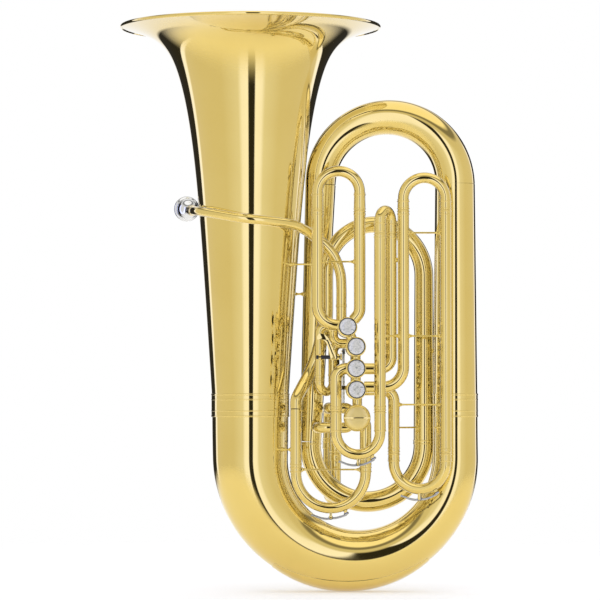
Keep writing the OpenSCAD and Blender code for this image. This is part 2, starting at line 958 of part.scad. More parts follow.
// Turning plug with two curved passages
module rotor() {
    color(brass)
        translate([rotor_x, -11.5, rotor_z])
            rotate([90, 0, 0])
                difference() {
                    union() {
                        cylinder(h = 56, r = rotor_bore - 0.05);
                        translate([0, 0, -14])
                            cylinder(h = 15, r = 4);
                    }
                    for (s = [-1, 1])
                        translate([s * 19, 0, 38.5])
                            rotate([90, 0, 0])
                                translate([0, 0, -30])
                                    cylinder(h = 60, r = 8);
                }
}

// Crank on the rear end of the rotor shaft with its pin
module rotor_crank() {
    color(brass)
        translate([rotor_x, 2.6, rotor_z])
            rotate([-90, 0, 0])
                rotate([0, 0, -135])
                    difference() {
                        union() {
                            cylinder(h = 5, r = 7);
                            translate([0, -3, 0])
                                cube([16, 6, 4]);
                            translate([16, 0, 0])
                                cylinder(h = 4, r = 3);
                            translate([16, 0, 0])
                                cylinder(h = 12, r = 1.6);
                        }
                        translate([0, 0, -1])
                            cylinder(h = 8, r = 3.2);
                    }
    color(brass)
        translate([rotor_x, 2.52, rotor_z])
            rotate([-90, 0, 0])
                cylinder(h = 6.4, r = 3.18);
}

// ---------- thumb lever ----------

axle_y = -76;
axle_z = 408;
arm_tilt = 7.67;

module thumb_lever() {
    // Axle
    color(dark)
        translate([30, axle_y, axle_z])
            rotate([0, 90, 0])
                cylinder(h = 45, r = 3.4);
    color(brass) {
        // Hub, curved arm and thumb plate
        translate([55, axle_y, axle_z])
            rotate([0, 90, 0])
                difference() {
                    cylinder(h = 9, r = 5.6);
                    translate([0, 0, -1])
                        cylinder(h = 11, r = 3.41);
                }
        translate([0, axle_y - 4.6, 0])
            rotate([90, 0, 0])
                linear_extrude(height = 2.6)
                    polygon([
                        [55, 404], [64, 404], [64, 413], [59, 423], [55, 432], [51.5, 440],
                        [47, 446], [40, 449], [34, 448], [31, 443], [31.6, 437],
                        [36, 437.4], [42, 438], [47, 433], [50, 425], [53, 414]
                    ]);
        // Rear arm beside the casings
        translate([72, axle_y, axle_z])
            rotate([arm_tilt, 0, 0])
                difference() {
                    union() {
                        rotate([0, 90, 0])
                            cylinder(h = 2.6, r = 6);
                        translate([0, 0, -2.5])
                            cube([2.6, 84, 5]);
                        translate([0, 84.75, 0])
                            rotate([0, 90, 0])
                                cylinder(h = 2.6, r = 3.4);
                        translate([0, 84.75, 0])
                            rotate([0, 90, 0])
                                cylinder(h = 8, r = 1.6);
                    }
                    translate([-1, 0, 0])
                        rotate([0, 90, 0])
                            cylinder(h = 5, r = 3.41);
                }
    }
}

module lever_posts() {
    color(brass) {
        difference() {
            union() {
                translate([34.4, axle_y, axle_z - 3])
                    cube([4, 32, 6]);
                translate([34.4, axle_y, axle_z])
                    rotate([0, 90, 0])
                        cylinder(h = 4, r = 6);
            }
            translate([30, axle_y, axle_z])
                rotate([0, 90, 0])
                    cylinder(h = 12, r = 3.45);
            translate([s2_lx, s2_ly, 380])
                cylinder(h = 60, r = s2_outer + 0.02);
        }
        difference() {
            union() {
                translate([66.4, axle_y - 4, 388])
                    cube([4, 8, 20]);
                translate([66.4, axle_y, axle_z])
                    rotate([0, 90, 0])
                        cylinder(h = 4, r = 6);
            }
            translate([60, axle_y, axle_z])
                rotate([0, 90, 0])
                    cylinder(h = 12, r = 3.45);
            translate([s3_lx + 18, s3_y, 370.2])
                solid_bend(18, outer_r + 0.02, 90, 90);
        }
        // Guide for the link rod, carried by the fourth casing
        difference() {
            translate([75.5, 4.5, 352])
                cube([14, 7, 7]);
            translate([78.5, 8, 340])
                cylinder(h = 30, r = 2.05);
            casing_solids();
        }
    }
}

// Upright rod that passes the lever's travel to the crank
module link_rod() {
    top = axle_z + 84.75 * sin(arm_tilt);
    low = rotor_z + 16 * sin(45);
    color(silver)
        difference() {
            union() {
                translate([78.5, 8, low])
                    cylinder(h = top - low, r = 2);
                translate([76.2, 2.5, top - 5])
                    cube([5.2, 11, 10]);
                translate([76.2, 7.6, low - 4.5])
                    cube([20, 4, 9]);
            }
            translate([70, 4, top - 1.9])
                cube([14, 8, 3.8]);
            translate([81.5, 6, low - 2.4])
                cube([12.2, 8, 4.8]);
        }
}

// ---------- moving slides ----------

module slide_1() {
    color(brass)
        slide_u(s1_lx, s1_y, s1_rx, s1_y, 694, 658, 90, 1);
}

module slide_2() {
    color(brass)
        slide_u(
            s2_lx, s2_ly, s2_rx, s2_ry, 364, 375, 34, -1,
            s2_bore - slip, 0.7, s2_outer + 0.6);
}

module slide_3_lower() {
    color(brass) {
        slide_u(s3_lx, s3_y, s3_rx, s3_y, 277.9, 321, 44, -1);
        water_key_seat((s3_lx + s3_rx) / 2, s3_y, 277.9, (s3_rx - s3_lx) / 2 + leg_r, 27);
    }
}

module slide_3_upper() {
    color(brass)
        slide_u(s3_rx, s3_y, s3_back_x, s3_back_y, 644, 617.5, 90, 1);
}

module slide_4_upper() {
    color(brass)
        slide_u(s4_lx, s4_y, s4_rx, s4_y, 683, 659, 90, 1);
}

// Half span and plan angle of the fourth lower slide
s4_half = norm([s4_rx - s4_low_x, s4_y - s4_low_y]) / 2;
s4_turn = atan2(s4_y - s4_low_y, s4_rx - s4_low_x);
s4_mid = [(s4_low_x + s4_rx) / 2, (s4_low_y + s4_y) / 2];

module slide_4_lower() {
    color(brass) {
        slide_u(s4_low_x, s4_low_y, s4_rx, s4_y, 225.5, 248.6, 60, -1);
        water_key_seat(s4_mid[0], s4_mid[1], 225.5, s4_half + leg_r, 30, s4_turn);
    }
}

module tuning_slide() {
    color(brass) {
        slide_u(main_lx, main_y, main_rx, main_y, 207, 221, 60, -1);
        strut([main_lx, main_y], ferrule_r, [main_rx, main_y], ferrule_r, 213.5);
        water_key_seat(
            (main_lx + main_rx) / 2, main_y, 207, (main_rx - main_lx) / 2 + leg_r, 27);
    }
}

module slide_5() {
    d = norm([s5_bx - s5_ax, s5_by - s5_ay]);
    color(brass)
        translate([s5_ax, s5_ay, 172])
            rotate([0, 0, atan2(s5_by - s5_ay, s5_bx - s5_ax)]) {
                translate([d / 2, 0, 0])
                    bend(d / 2, leg_r, leg_r - leg_wall, 180, 180);
                for (p = [[0, 295, 262], [d, 268, 240]])
                    translate([p[0], 0, 0]) {
                        tube(0, 0, 0, p[1] - 172, leg_r, leg_r - leg_wall);
                        tube(0, 0, p[2] - 186, p[2] - 172.5, ferrule_r, leg_r - 0.05);
                    }
            }
}

// ---------- water keys ----------

// Water key under a bow. cx, cy, cz: bow centre; ro: outside radius of the bow; dx: pad offset
module water_key(cx, cy, cz, ro, dx, turn = 0) {
    pad_a = -acos(dx / (ro + 5));
    color(silver)
        translate([cx, cy, cz])
            rotate([0, 0, turn])
                difference() {
                    union() {
                        // Flat lever: finger arm on one side, pad arm on the other
                        rotate([90, 0, 0])
                            translate([0, 0, -1.6])
                                linear_extrude(3.2)
                                    water_key_outline(ro, pad_a);
                        // Hub on the hinge
                        translate([0, 4, -ro - 7])
                            rotate([90, 0, 0])
                                cylinder(h = 8, r = 3);
                        // Cup
                        rotate([0, 90 - pad_a, 0])
                            translate([0, 0, ro + 3.2])
                                cylinder(h = 4, r = 4.6);
                    }
                    translate([0, 5, -ro - 7])
                        rotate([90, 0, 0])
                            cylinder(h = 12, r = 1.3);
                }
}

module water_key_outline(ro, pad_a) {
    flat_bar([-33, -ro - 2.6], [-18, -ro - 7], 1.5);
    flat_bar([-18, -ro - 7], [0, -ro - 7.2], 1.7);
    flat_bar([0, -ro - 7.2], (ro + 5.6) * [cos(pad_a), sin(pad_a)], 1.6);
    translate([-33, -ro - 2.6])
        circle(r = 2.4, $fn = 24);
    translate([-18, -ro - 7])
        circle(r = 1.8, $fn = 24);
}

// Flat bar from p to q with half-width w
module flat_bar(p, q, w) {
    v = (q - p) / norm(q - p);
    m = w * [-v[1], v[0]];
    polygon([p + m, p - m, q - m, q + m]);
}

// Nipple and saddle on the bow that carry a water key
module water_key_seat(cx, cy, cz, ro, dx, turn = 0) {
    pad_a = -acos(dx / (ro + 5));
    translate([cx, cy, cz])
        rotate([0, 0, turn])
            difference() {
                union() {
                    rotate([0, 90 - pad_a, 0])
                        translate([0, 0, ro - 1.5])
                            cylinder(h = 4.4, r = 3.4);
                    for (s = [-1, 1])
                        translate([-2.4, s > 0 ? 4.4 : -6, -ro - 9.5])
                            cube([4.8, 1.6, 12.4]);
                    translate([0, 6, -ro - 7])
                        rotate([90, 0, 0])
                            cylinder(h = 12, r = 1.25);
                }
                rotate([90, 0, 0])
                    rotate_extrude()
                        translate([ro - leg_r, 0])
                            circle(r = leg_r - 0.01);
            }
}

module water_key_3() {
    water_key((s3_lx + s3_rx) / 2, s3_y, 277.9, (s3_rx - s3_lx) / 2 + leg_r, 27);
}

module water_key_4() {
    water_key(s4_mid[0], s4_mid[1], 225.5, s4_half + leg_r, 30, s4_turn);
}

module water_key_tuning() {
    water_key((main_lx + main_rx) / 2, main_y, 207, (main_rx - main_lx) / 2 + leg_r, 27);
}

// ---------- braces ----------

module slide_braces() {
    color(brass) {
        strut([s1_lx, s1_y], outer_r, [s1_rx, s1_y], outer_r, 573.5);
        strut([s4_lx, s4_y], outer_r, [s4_rx, s4_y], outer_r, 624);
        strut([s4_lx, s4_y], outer_r, [s4_rx, s4_y], outer_r, 445);
        strut([s3_rx, s3_y], outer_r, [s4_lx, s4_y], outer_r, 445);
        strut([s3_back_x, s3_back_y], outer_r, [s4_lx, s4_y], outer_r, 577);
        strut([s4_low_x, s4_low_y], outer_r, [s4_rx, s4_y], outer_r, 326);
        strut([s4_low_x, s4_low_y], outer_r, [inner_right_x, inner_y], inner_r - 0.1, 286);
    }
}

module bell_braces() {
    color(brass) {
        strut([bell_x, 0], bell_radius(bell_h - 4 - 569.5) + 0.4, [s1_lx, s1_y], outer_r, 569.5);
        strut([bell_x, 0], branch_r + 28, [main_lx, main_y], outer_r, 248);
        strut([bell_x, 0], bell_radius(bell_h - 4 - 520) + 0.4, [30.8, 23.4], 23.5, 520);
        strut([inner_right_x, inner_y], 17.5, [branch_x, 0], 38.1, 420);
    }
}

bell();
bell_rim();
bell_ferrule();
bottom_bow();
bow_guard();
branch_ferrule();
outer_branch();
top_bow();
left_branch();
inner_bow();
inner_branch();
inner_arch();
inner_crook();
leadpipe();
receiver();
valve_casings();
top_caps();
bottom_caps();
first_tubes();
second_tubes();
third_left_tube();
third_long_tube();
third_back_tube();
fourth_left_tube();
fourth_long_tube();
fourth_low_tube();
tuning_tubes();
rotor_casing();
rotor_cap();
fifth_upper_tube();
fifth_lower_tube();
slide_braces();
bell_braces();
lever_posts();
piston_1();
piston_2();
piston_3();
piston_4();
pearl_1();
pearl_2();
pearl_3();
pearl_4();
slide_1();
slide_2();
slide_3_lower();
slide_3_upper();
slide_4_upper();
slide_4_lower();
tuning_slide();
slide_5();
water_key_3();
water_key_4();
water_key_tuning();
rotor();
rotor_crank();
thumb_lever();
link_rod();
mouthpiece();
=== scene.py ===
"""Contrabass tuba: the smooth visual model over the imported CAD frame.

The scene is in metres, +Z up and -Y towards the viewer. The mesh kit works in millimetres.
"""
import math

import bmesh
import bpy
from mathutils import Matrix, Vector


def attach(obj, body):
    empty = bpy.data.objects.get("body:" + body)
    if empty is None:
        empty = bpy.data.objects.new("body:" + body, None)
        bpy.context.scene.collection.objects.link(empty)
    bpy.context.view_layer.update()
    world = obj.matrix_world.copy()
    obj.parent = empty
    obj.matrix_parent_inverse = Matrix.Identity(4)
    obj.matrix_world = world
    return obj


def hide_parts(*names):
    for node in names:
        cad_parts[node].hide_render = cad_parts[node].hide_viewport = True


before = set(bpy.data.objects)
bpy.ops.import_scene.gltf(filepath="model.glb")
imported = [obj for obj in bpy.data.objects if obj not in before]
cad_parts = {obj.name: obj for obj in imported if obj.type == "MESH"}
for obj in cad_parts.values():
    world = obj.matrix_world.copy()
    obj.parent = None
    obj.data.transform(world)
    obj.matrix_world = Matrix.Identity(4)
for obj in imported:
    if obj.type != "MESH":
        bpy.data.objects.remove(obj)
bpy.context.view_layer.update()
MM = 0.001


# ---------------------------------------------------------------- camera
EYE_Z = 0.334
DISTANCE = 6.0
FIELD = 1.05
camera = bpy.data.objects.new("camera", bpy.data.cameras.new("camera"))
bpy.context.scene.collection.objects.link(camera)
camera.location = (0.0022, -DISTANCE, EYE_Z)
camera.rotation_euler = (math.radians(90) + math.atan2(0.509 - EYE_Z, DISTANCE), 0, 0)
camera.data.sensor_width = 36
camera.data.lens = 36 * DISTANCE / FIELD
camera.data.clip_end = 100
bpy.context.scene.camera = camera


# ---------------------------------------------------------------- materials
def nodes_of(name):
    mat = bpy.data.materials.new(name)
    mat.use_nodes = True
    tree = mat.node_tree
    shader = tree.nodes["Principled BSDF"]
    coord = tree.nodes.new("ShaderNodeTexCoord")
    return mat, tree, shader, coord


def noise(tree, coord, scale, detail=4.0, stretch=(1, 1, 1), rough=0.5):
    mapping = tree.nodes.new("ShaderNodeMapping")
    mapping.inputs["Scale"].default_value = stretch
    tree.links.new(coord.outputs["Object"], mapping.inputs["Vector"])
    tex = tree.nodes.new("ShaderNodeTexNoise")
    tex.inputs["Scale"].default_value = scale
    tex.inputs["Detail"].default_value = detail
    tex.inputs["Roughness"].default_value = rough
    tree.links.new(mapping.outputs["Vector"], tex.inputs["Vector"])
    return tex.outputs["Fac"]


def ramp(tree, factor, stops):
    node = tree.nodes.new("ShaderNodeValToRGB")
    points = node.color_ramp.elements
    while len(points) < len(stops):
        points.new(0.5)
    for point, (place, colour) in zip(points, stops):
        point.position = place
        point.color = (*colour, 1)
    tree.links.new(factor, node.inputs["Fac"])
    return node.outputs["Color"]


def span(tree, factor, low, high):
    node = tree.nodes.new("ShaderNodeMapRange")
    node.inputs["To Min"].default_value = low
    node.inputs["To Max"].default_value = high
    tree.links.new(factor, node.inputs["Value"])
    return node.outputs["Result"]


def bump(tree, shader, height, strength, distance):
    node = tree.nodes.new("ShaderNodeBump")
    node.inputs["Strength"].default_value = strength
    node.inputs["Distance"].default_value = distance
    tree.links.new(height, node.inputs["Height"])
    tree.links.new(node.outputs["Normal"], shader.inputs["Normal"])


def metal(name, light, deep, rough, coat=0.0, grain=0.04, seen=None):
    """Polished metal: two tones mixed by a soft cloud, hairline polish marks and a faint ripple."""
    mat, tree, shader, coord = nodes_of(name)
    cloud = noise(tree, coord, 9, 5)
    colour = ramp(tree, cloud, [(0.3, deep), (0.62, light)])
    if seen:
        # Painted reflection: wherever it is seen in another polished surface, lacquered brass is given a
        # paler colour, so it keeps its yellow instead of turning orange
        path = tree.nodes.new("ShaderNodeLightPath")
        mix = tree.nodes.new("ShaderNodeMix")
        mix.data_type = "RGBA"
        tree.links.new(path.outputs["Is Glossy Ray"], mix.inputs["Factor"])
        tree.links.new(colour, mix.inputs["A"])
        mix.inputs["B"].default_value = (*seen, 1)
        colour = mix.outputs["Result"]
    tree.links.new(colour, shader.inputs["Base Color"])
    fine = noise(tree, coord, 220, 3, (1, 1, 0.08))
    tree.links.new(span(tree, fine, rough[0], rough[1]), shader.inputs["Roughness"])
    bump(tree, shader, noise(tree, coord, 38, 2), grain, 0.0004)
    shader.inputs["Metallic"].default_value = 1
    shader.inputs["Coat Weight"].default_value = coat
    shader.inputs["Coat Roughness"].default_value = 0.03
    shader.inputs["Coat IOR"].default_value = 1.5
    return mat


# The last colour of each brass finish is a painted reflection colour: a paler yellow the brass takes only
# where it is seen in another glossy surface
BRASS = metal("lacquered_brass", (0.80, 0.59, 0.15), (0.775, 0.56, 0.13), (0.03, 0.065), 1.0, 0.02,
              (0.93, 0.86, 0.6))
ROD_BRASS = metal("brace_brass", (0.78, 0.57, 0.13), (0.7, 0.49, 0.09), (0.06, 0.12), 0.6, 0.03,
                  (0.9, 0.83, 0.55))
SATIN = metal("brushed_brass", (0.84, 0.64, 0.2), (0.78, 0.57, 0.15), (0.34, 0.46), 0.4, 0.08,
              (0.93, 0.86, 0.6))
NICKEL = metal("nickel_plate", (0.78, 0.77, 0.73), (0.7, 0.69, 0.65), (0.05, 0.1), 0.0, 0.02)
KEY_NICKEL = metal("key_nickel", (0.5, 0.5, 0.49), (0.36, 0.36, 0.35), (0.08, 0.16), 0.0, 0.02)
STEEL = metal("dark_steel", (0.045, 0.044, 0.045), (0.02, 0.02, 0.022), (0.18, 0.3), 0.3, 0.05)


def pearl_material():
    mat, tree, shader, coord = nodes_of("mother_of_pearl")
    swirl = noise(tree, coord, 190, 7, (1, 1, 1.9), 0.62)
    tree.links.new(
        ramp(tree, swirl, [
            (0.32, (0.2, 0.21, 0.17)), (0.42, (0.58, 0.57, 0.47)), (0.5, (0.78, 0.74, 0.62)),
            (0.58, (0.48, 0.48, 0.4)), (0.66, (0.84, 0.8, 0.68)), (0.78, (0.34, 0.36, 0.3))]),
        shader.inputs["Base Color"])
    tree.links.new(span(tree, swirl, 0.12, 0.28), shader.inputs["Roughness"])
    bump(tree, shader, swirl, 0.06, 0.0003)
    shader.inputs["Coat Weight"].default_value = 1
    shader.inputs["Coat Roughness"].default_value = 0.04
    shader.inputs["Sheen Weight"].default_value = 0.15
    return mat


def soft_material(name, light, deep, scale, depth):
    mat, tree, shader, coord = nodes_of(name)
    fibre = noise(tree, coord, scale, 8, (1, 1, 1), 0.7)
    tree.links.new(
        ramp(tree, fibre, [(0.35, deep), (0.65, light)]), shader.inputs["Base Color"])
    tree.links.new(span(tree, fibre, 0.75, 0.95), shader.inputs["Roughness"])
    bump(tree, shader, fibre, 0.6, depth)
    return mat


PEARL = pearl_material()
FELT = soft_material("black_felt", (0.03, 0.03, 0.034), (0.008, 0.008, 0.01), 900, 0.0004)
CORK = soft_material("cork", (0.07, 0.045, 0.03), (0.02, 0.012, 0.01), 420, 0.0004)


# ---------------------------------------------------------------- mesh kit (millimetres)
def unit(v):
    return Vector(v).normalized()


def axes(direction, hint=None):
    """Matrix whose Z column is direction."""
    z = unit(direction)
    x = Vector(hint) if hint else (Vector((1, 0, 0)) if abs(z.x) < 0.9 else Vector((0, 1, 0)))
    x = (x - z * x.dot(z)).normalized()
    y = z.cross(x)
    return Matrix((x, y, z)).transposed()


def place(part, origin, direction=(0, 0, 1), hint=None):
    verts, faces = part
    turn, at = axes(direction, hint), Vector(origin)
    return [turn @ Vector(v) + at for v in verts], faces


def lathe(profile, sides=64, wave=None):
    """Solid of revolution about Z of a closed (radius, height) outline."""
    verts, faces, rows = [], [], []
    for r, z in profile:
        if r < 1e-6:
            rows.append([len(verts)] * sides)
            verts.append(Vector((0, 0, z)))
        else:
            rows.append(list(range(len(verts), len(verts) + sides)))
            for k in range(sides):
                a = math.tau * k / sides
                q = r + (wave(k, r, z) if wave else 0)
                verts.append(Vector((q * math.cos(a), q * math.sin(a), z)))
    n = len(rows)
    for i in range(n):
        p, q = rows[i], rows[(i + 1) % n]
        for k in range(sides):
            m = (k + 1) % sides
            face = []
            for v in (p[k], p[m], q[m], q[k]):
                if v not in face:
                    face.append(v)
            if len(face) > 2:
                faces.append(face)
    return verts, faces


def sweep(path, radii, sides=48, wall=0.0, hint=(0.1, 1, 0.05)):
    """Round tube along a path; hollow with open ends if wall is given."""
    path = [Vector(p) for p in path]
    n = len(path)
    if not hasattr(radii, "__len__"):
        radii = [radii] * n
    rings, u = [], None
    for i, p in enumerate(path):
        t = (path[min(i + 1, n - 1)] - path[max(i - 1, 0)]).normalized()
        if u is None:
            u = Vector(hint)
        u = (u - t * u.dot(t)).normalized()
        rings.append((p, u.copy(), t.cross(u), radii[i], t))
    verts, faces = [], []

    def shell(shrink):
        base = len(verts)
        for p, u, v, r, _ in rings:
            for k in range(sides):
                a = math.tau * k / sides
                verts.append(p + (r - shrink) * (math.cos(a) * u + math.sin(a) * v))
        return base

    outer = shell(0)
    inner = shell(wall) if wall else None
    for i in range(n - 1):
        for k in range(sides):
            m = (k + 1) % sides
            a, b = i * sides, (i + 1) * sides
            faces.append([outer + a + k, outer + a + m, outer + b + m, outer + b + k])
            if wall:
                faces.append([inner + a + k, inner + b + k, inner + b + m, inner + a + m])
    last = (n - 1) * sides
    for k in range(sides):
        m = (k + 1) % sides
        if wall:
            faces.append([outer + m, outer + k, inner + k, inner + m])
            faces.append([outer + last + k, outer + last + m, inner + last + m, inner + last + k])
    if not wall:
        faces.append([outer + k for k in reversed(range(sides))])
        faces.append([outer + last + k for k in range(sides)])
    return verts, faces


def bevelled(outline, thick, edge):
    """Plate of a closed XY outline, from z = 0 to thick, with bevelled rims."""
    bm = bmesh.new()
    base = [bm.verts.new((x, y, 0)) for x, y in outline]
    face = bm.faces.new(base)
    top = bmesh.ops.extrude_face_region(bm, geom=[face])["geom"]
    bmesh.ops.translate(
        bm, vec=(0, 0, thick), verts=[v for v in top if isinstance(v, bmesh.types.BMVert)])
    bmesh.ops.recalc_face_normals(bm, faces=bm.faces)
    bmesh.ops.bevel(
        bm, geom=list(bm.edges), offset=edge, segments=2, profile=0.6, affect="EDGES",
        clamp_overlap=True)
    bm.verts.index_update()
    got = [v.co.copy() for v in bm.verts], [[v.index for v in f.verts] for f in bm.faces]
    bm.free()
    return got


def block(low, high, edge=0.5):
    w, d, h = (high[i] - low[i] for i in range(3))
    part = bevelled([(0, 0), (w, 0), (w, d), (0, d)], h, edge)
    return [v + Vector(low) for v in part[0]], part[1]


def volume(verts, faces):
    total = 0.0
    for f in faces:
        for i in range(1, len(f) - 1):
            total += verts[f[0]].dot(verts[f[i]].cross(verts[f[i + 1]]))
    return total


def piece(name, parts, body, material, replaces=(), sharp=32):
    verts, faces = [], []
    for v, f in parts:
        if volume(v, f) < 0:
            f = [list(reversed(q)) for q in f]
        base = len(verts)
        verts += v
        faces += [[i + base for i in q] for q in f]
    mesh = bpy.data.meshes.new(name)
    mesh.from_pydata([v * MM for v in verts], [], faces)
    mesh.update()
    mesh.shade_smooth()
    mesh.set_sharp_from_angle(angle=math.radians(sharp))
    mesh.materials.append(material)
    obj = bpy.data.objects.new(name, mesh)
    bpy.context.scene.collection.objects.link(obj)
    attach(obj, body)
    if replaces:
        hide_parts(*replaces)
    return obj


def arc(centre, radius, a0, a1, x_axis=(1, 0, 0), z_axis=(0, 0, 1), steps=24):
    """Points on an arc from angle a0 to a1 in degrees, from x_axis towards z_axis."""
    x, z, c = Vector(x_axis), Vector(z_axis), Vector(centre)
    out = []
    for i in range(steps + 1):
        a = math.radians(a0 + (a1 - a0) * i / steps)
        out.append(c + radius * (math.cos(a) * x + math.sin(a) * z))
    return out


def spline(points, steps):
    p = [Vector(q) for q in points]
    out = []
    for i in range(len(p) - 1):
        a, b, c, d = p[max(i - 1, 0)], p[i], p[i + 1], p[min(i + 2, len(p) - 1)]
        for k in range(steps + (i == len(p) - 2)):
            t = k / steps
            out.append(0.5 * (
                2 * b + (c - a) * t + (2 * a - 5 * b + 4 * c - d) * t * t
                + (3 * b - a - 3 * c + d) * t ** 3))
    return out


def line(p, q, steps=2):
    p, q = Vector(p), Vector(q)
    return [p + (q - p) * i / steps for i in range(steps + 1)]


def joined(*runs):
    out = []
    for run in runs:
        for p in run:
            p = Vector(p)
            if not out or (p - out[-1]).length > 0.02:
                out.append(p)
    return out


def collar(at, direction, r, length, lip=0.8, inner=None):
    """Sleeve with a rounded bead at each end, centred on a tube of radius r, along direction."""
    inner = inner if inner is not None else r - 0.1
    out = [(inner, 0), (r + lip * 0.5, 0)]
    for k in range(7):
        a = -90 + 180 * k / 6
        out.append((r + lip * 0.45 + lip * 0.55 * math.cos(math.radians(a)),
                    0.9 + 0.9 * math.sin(math.radians(a))))
    if length > 4:
        out += [(r + lip * 0.4, 2.1), (r + lip * 0.4, length - 2.1)]
        for k in range(7):
            a = -90 + 180 * k / 6
            out.append((r + lip * 0.45 + lip * 0.55 * math.cos(math.radians(a)),
                        length - 0.9 + 0.9 * math.sin(math.radians(a))))
    end = max(length, 1.8)
    out += [(r + lip * 0.5, end), (inner, end)]
    return place(lathe(out, 48), at, direction)


def strut(a, ra, b, rb, z):
    """Brace between two upright tubes: a thin rod that flares into a round foot at each end."""
    a, b = Vector((a[0], a[1], z)), Vector((b[0], b[1], z))
    v = (b - a).normalized()
    p, q = a + (ra - 0.7) * v, b - (rb - 0.7) * v
    length = (q - p).length
    rise = [(4.1, 1.3), (3.9, 1.8), (3.1, 2.1), (2.5, 2.9), (2.9, 3.5), (2.9, 4.1), (2.2, 4.7),
            (1.8, 6.2), (1.6, 8.5), (1.55, 10.0)]
    rise = [s for s in rise if s[1] < length / 2 - 0.2]
    out = [(0, 0), (4.1, 0)] + rise + [(r, length - h) for r, h in reversed(rise)]
    out += [(4.1, length), (0, length)]
    return place(lathe(out, 28), p, v)


# ---------------------------------------------------------------- shape of the instrument
BELL_X, RIM_R, BELL_H = -84.75, 228.93, 991.0
BRANCH_X, BRANCH_R, BRANCH_TOP = 273.65, 39.0, 35.0
BOW_Z, TOP_Z = 235.0, 712.0
LEFT_X, TOP_SMALL = 38.2, 26.8
IN_LX, IN_RX, IN_Y, IN_R, IN_Z, ARCH_Z = 20.7, 220.0, 28.0, 18.4, 255.4, 551.8
OUT_R, LEG_R, CUFF_R = 10.0, 9.35, 10.9
PISTON_X = [83.8, 98.6, 98.6, 99.2]
PISTON_Z = [459.5, 425.5, 388.2, 351.6]
S1 = ((32.5, -66), (105.5, -66))
S2 = ((36.4, -44), (60, -24))
S3 = ((64.4, -80), (140.3, -80))
S3B = (160.1, -50)
S4 = ((181.4, -58), (254.5, -58))
S4L = (165.3, -36)
MAIN = ((-4.7, -50), (115.8, -50))
S5 = ((52.6, 80), (64.9, 57.6))


def bell_r(d):
    return 108.7 - 0.0639 * d + 65.8 * math.exp(-d / 16) + 54 * math.exp(-d / 100)


def bell():
    top, depth = BELL_H - 4, BELL_H - 4 - 325
    ds = [depth * (k / 120) ** 2.4 for k in range(121)]
    outer = [(bell_r(d), top - d) for d in reversed(ds) if d > 0.4]
    rim, c = [], (RIM_R - 3.2, BELL_H - 3.2)
    for k in range(22):
        a = math.radians(-100 + 290 * k / 21)
        rim.append((c[0] + 3.2 * math.cos(a), c[1] + 3.2 * math.sin(a)))
    inner = [(bell_r(d) - 0.9, top - d + 1.0) for d in ds if d > 2.6]
    part = lathe(outer + rim + inner, 256)
    piece("bell", [place(part, (BELL_X, 0, 0))], "horn", BRASS, ["bell", "bell_rim"])


def ferrule(r_in, r_top):
    base = r_top + 0.5
    out = [(r_in, 304.5)]
    beads = [(306.2, 1.7, 0.5), (315.2, 1.1, 0.4), (334.8, 1.1, 0.4), (343.8, 1.7, 0.5)]
    for z, half, rise in beads:
        for k in range(9):
            a = math.radians(-90 + 180 * k / 8)
            out.append((base + rise * math.cos(a), z + half * math.sin(a)))
    out += [(r_top, 345.5), (r_in, 325)]
    return lathe(out, 192)


def bow_centre(t):
    big = (BRANCH_X - BELL_X) / 2
    leg = 322 - BOW_Z
    run = math.pi * big
    s = t * (2 * leg + run)
    if s < leg:
        return Vector((BELL_X, 0, 322 - s))
    if s > leg + run:
        return Vector((BRANCH_X, 0, BOW_Z + s - leg - run))
    a = math.pi + math.pi * (s - leg) / run
    return Vector((BELL_X + big + big * math.cos(a), 0, BOW_Z + big * math.sin(a)))


def bow_radius(t):
    return BRANCH_R + 28 * max(0.0, 0.5 + 0.5 * math.cos(math.pi * t)) ** 1.1


def bottom_bow():
    n = 200
    path = [bow_centre(k / n) for k in range(n + 1)]
    part = sweep(path, [bow_radius(k / n) for k in range(n + 1)], 128, 1.0, (1, 0, 0))
    piece("bottom_bow", [part], "horn", BRASS, ["bottom_bow"])
    n, m = 72, 28
    verts, faces = [], []
    drop = bow_centre(0.5).z - bow_radius(0.5)
    for k in range(n + 1):
        u = 2 * k / n - 1
        t = 0.5 + 0.155 * u
        g = bow_centre(t + 0.001) - bow_centre(t - 0.001)
        d = Vector((g.z, 0, -g.x)).normalized()
        thick = 0.9 + (drop - 0.9) * (1 - abs(u) ** 3)
        spread = 46 - 16 * u * u
        for high, order in ((thick, range(m + 1)), (0.15, range(m, -1, -1))):
            for i in order:
                w = 2 * i / m - 1
                a = math.radians(spread * w)
                h = high if high < 0.2 else 0.5 + (high - 0.5) * (1 - abs(w) ** 6)
                verts.append(
                    bow_centre(t) + (bow_radius(t) + h)
                    * (math.cos(a) * d + math.sin(a) * Vector((0, 1, 0))))
    w = 2 * (m + 1)
    for k in range(n):
        for i in range(w):
            j = (i + 1) % w
            faces.append([k * w + i, (k + 1) * w + i, (k + 1) * w + j, k * w + j])
    for k, flip in ((0, 1), (n, 0)):
        for i in range(m):
            a, b = k * w + i, k * w + i + 1
            e, f = k * w + w - 1 - i, k * w + w - 2 - i
            quad = [a, b, f, e]
            faces.append(quad if flip else quad[::-1])
    piece("bow_guard", [(verts, faces)], "horn", BRASS, ["bow_guard"])


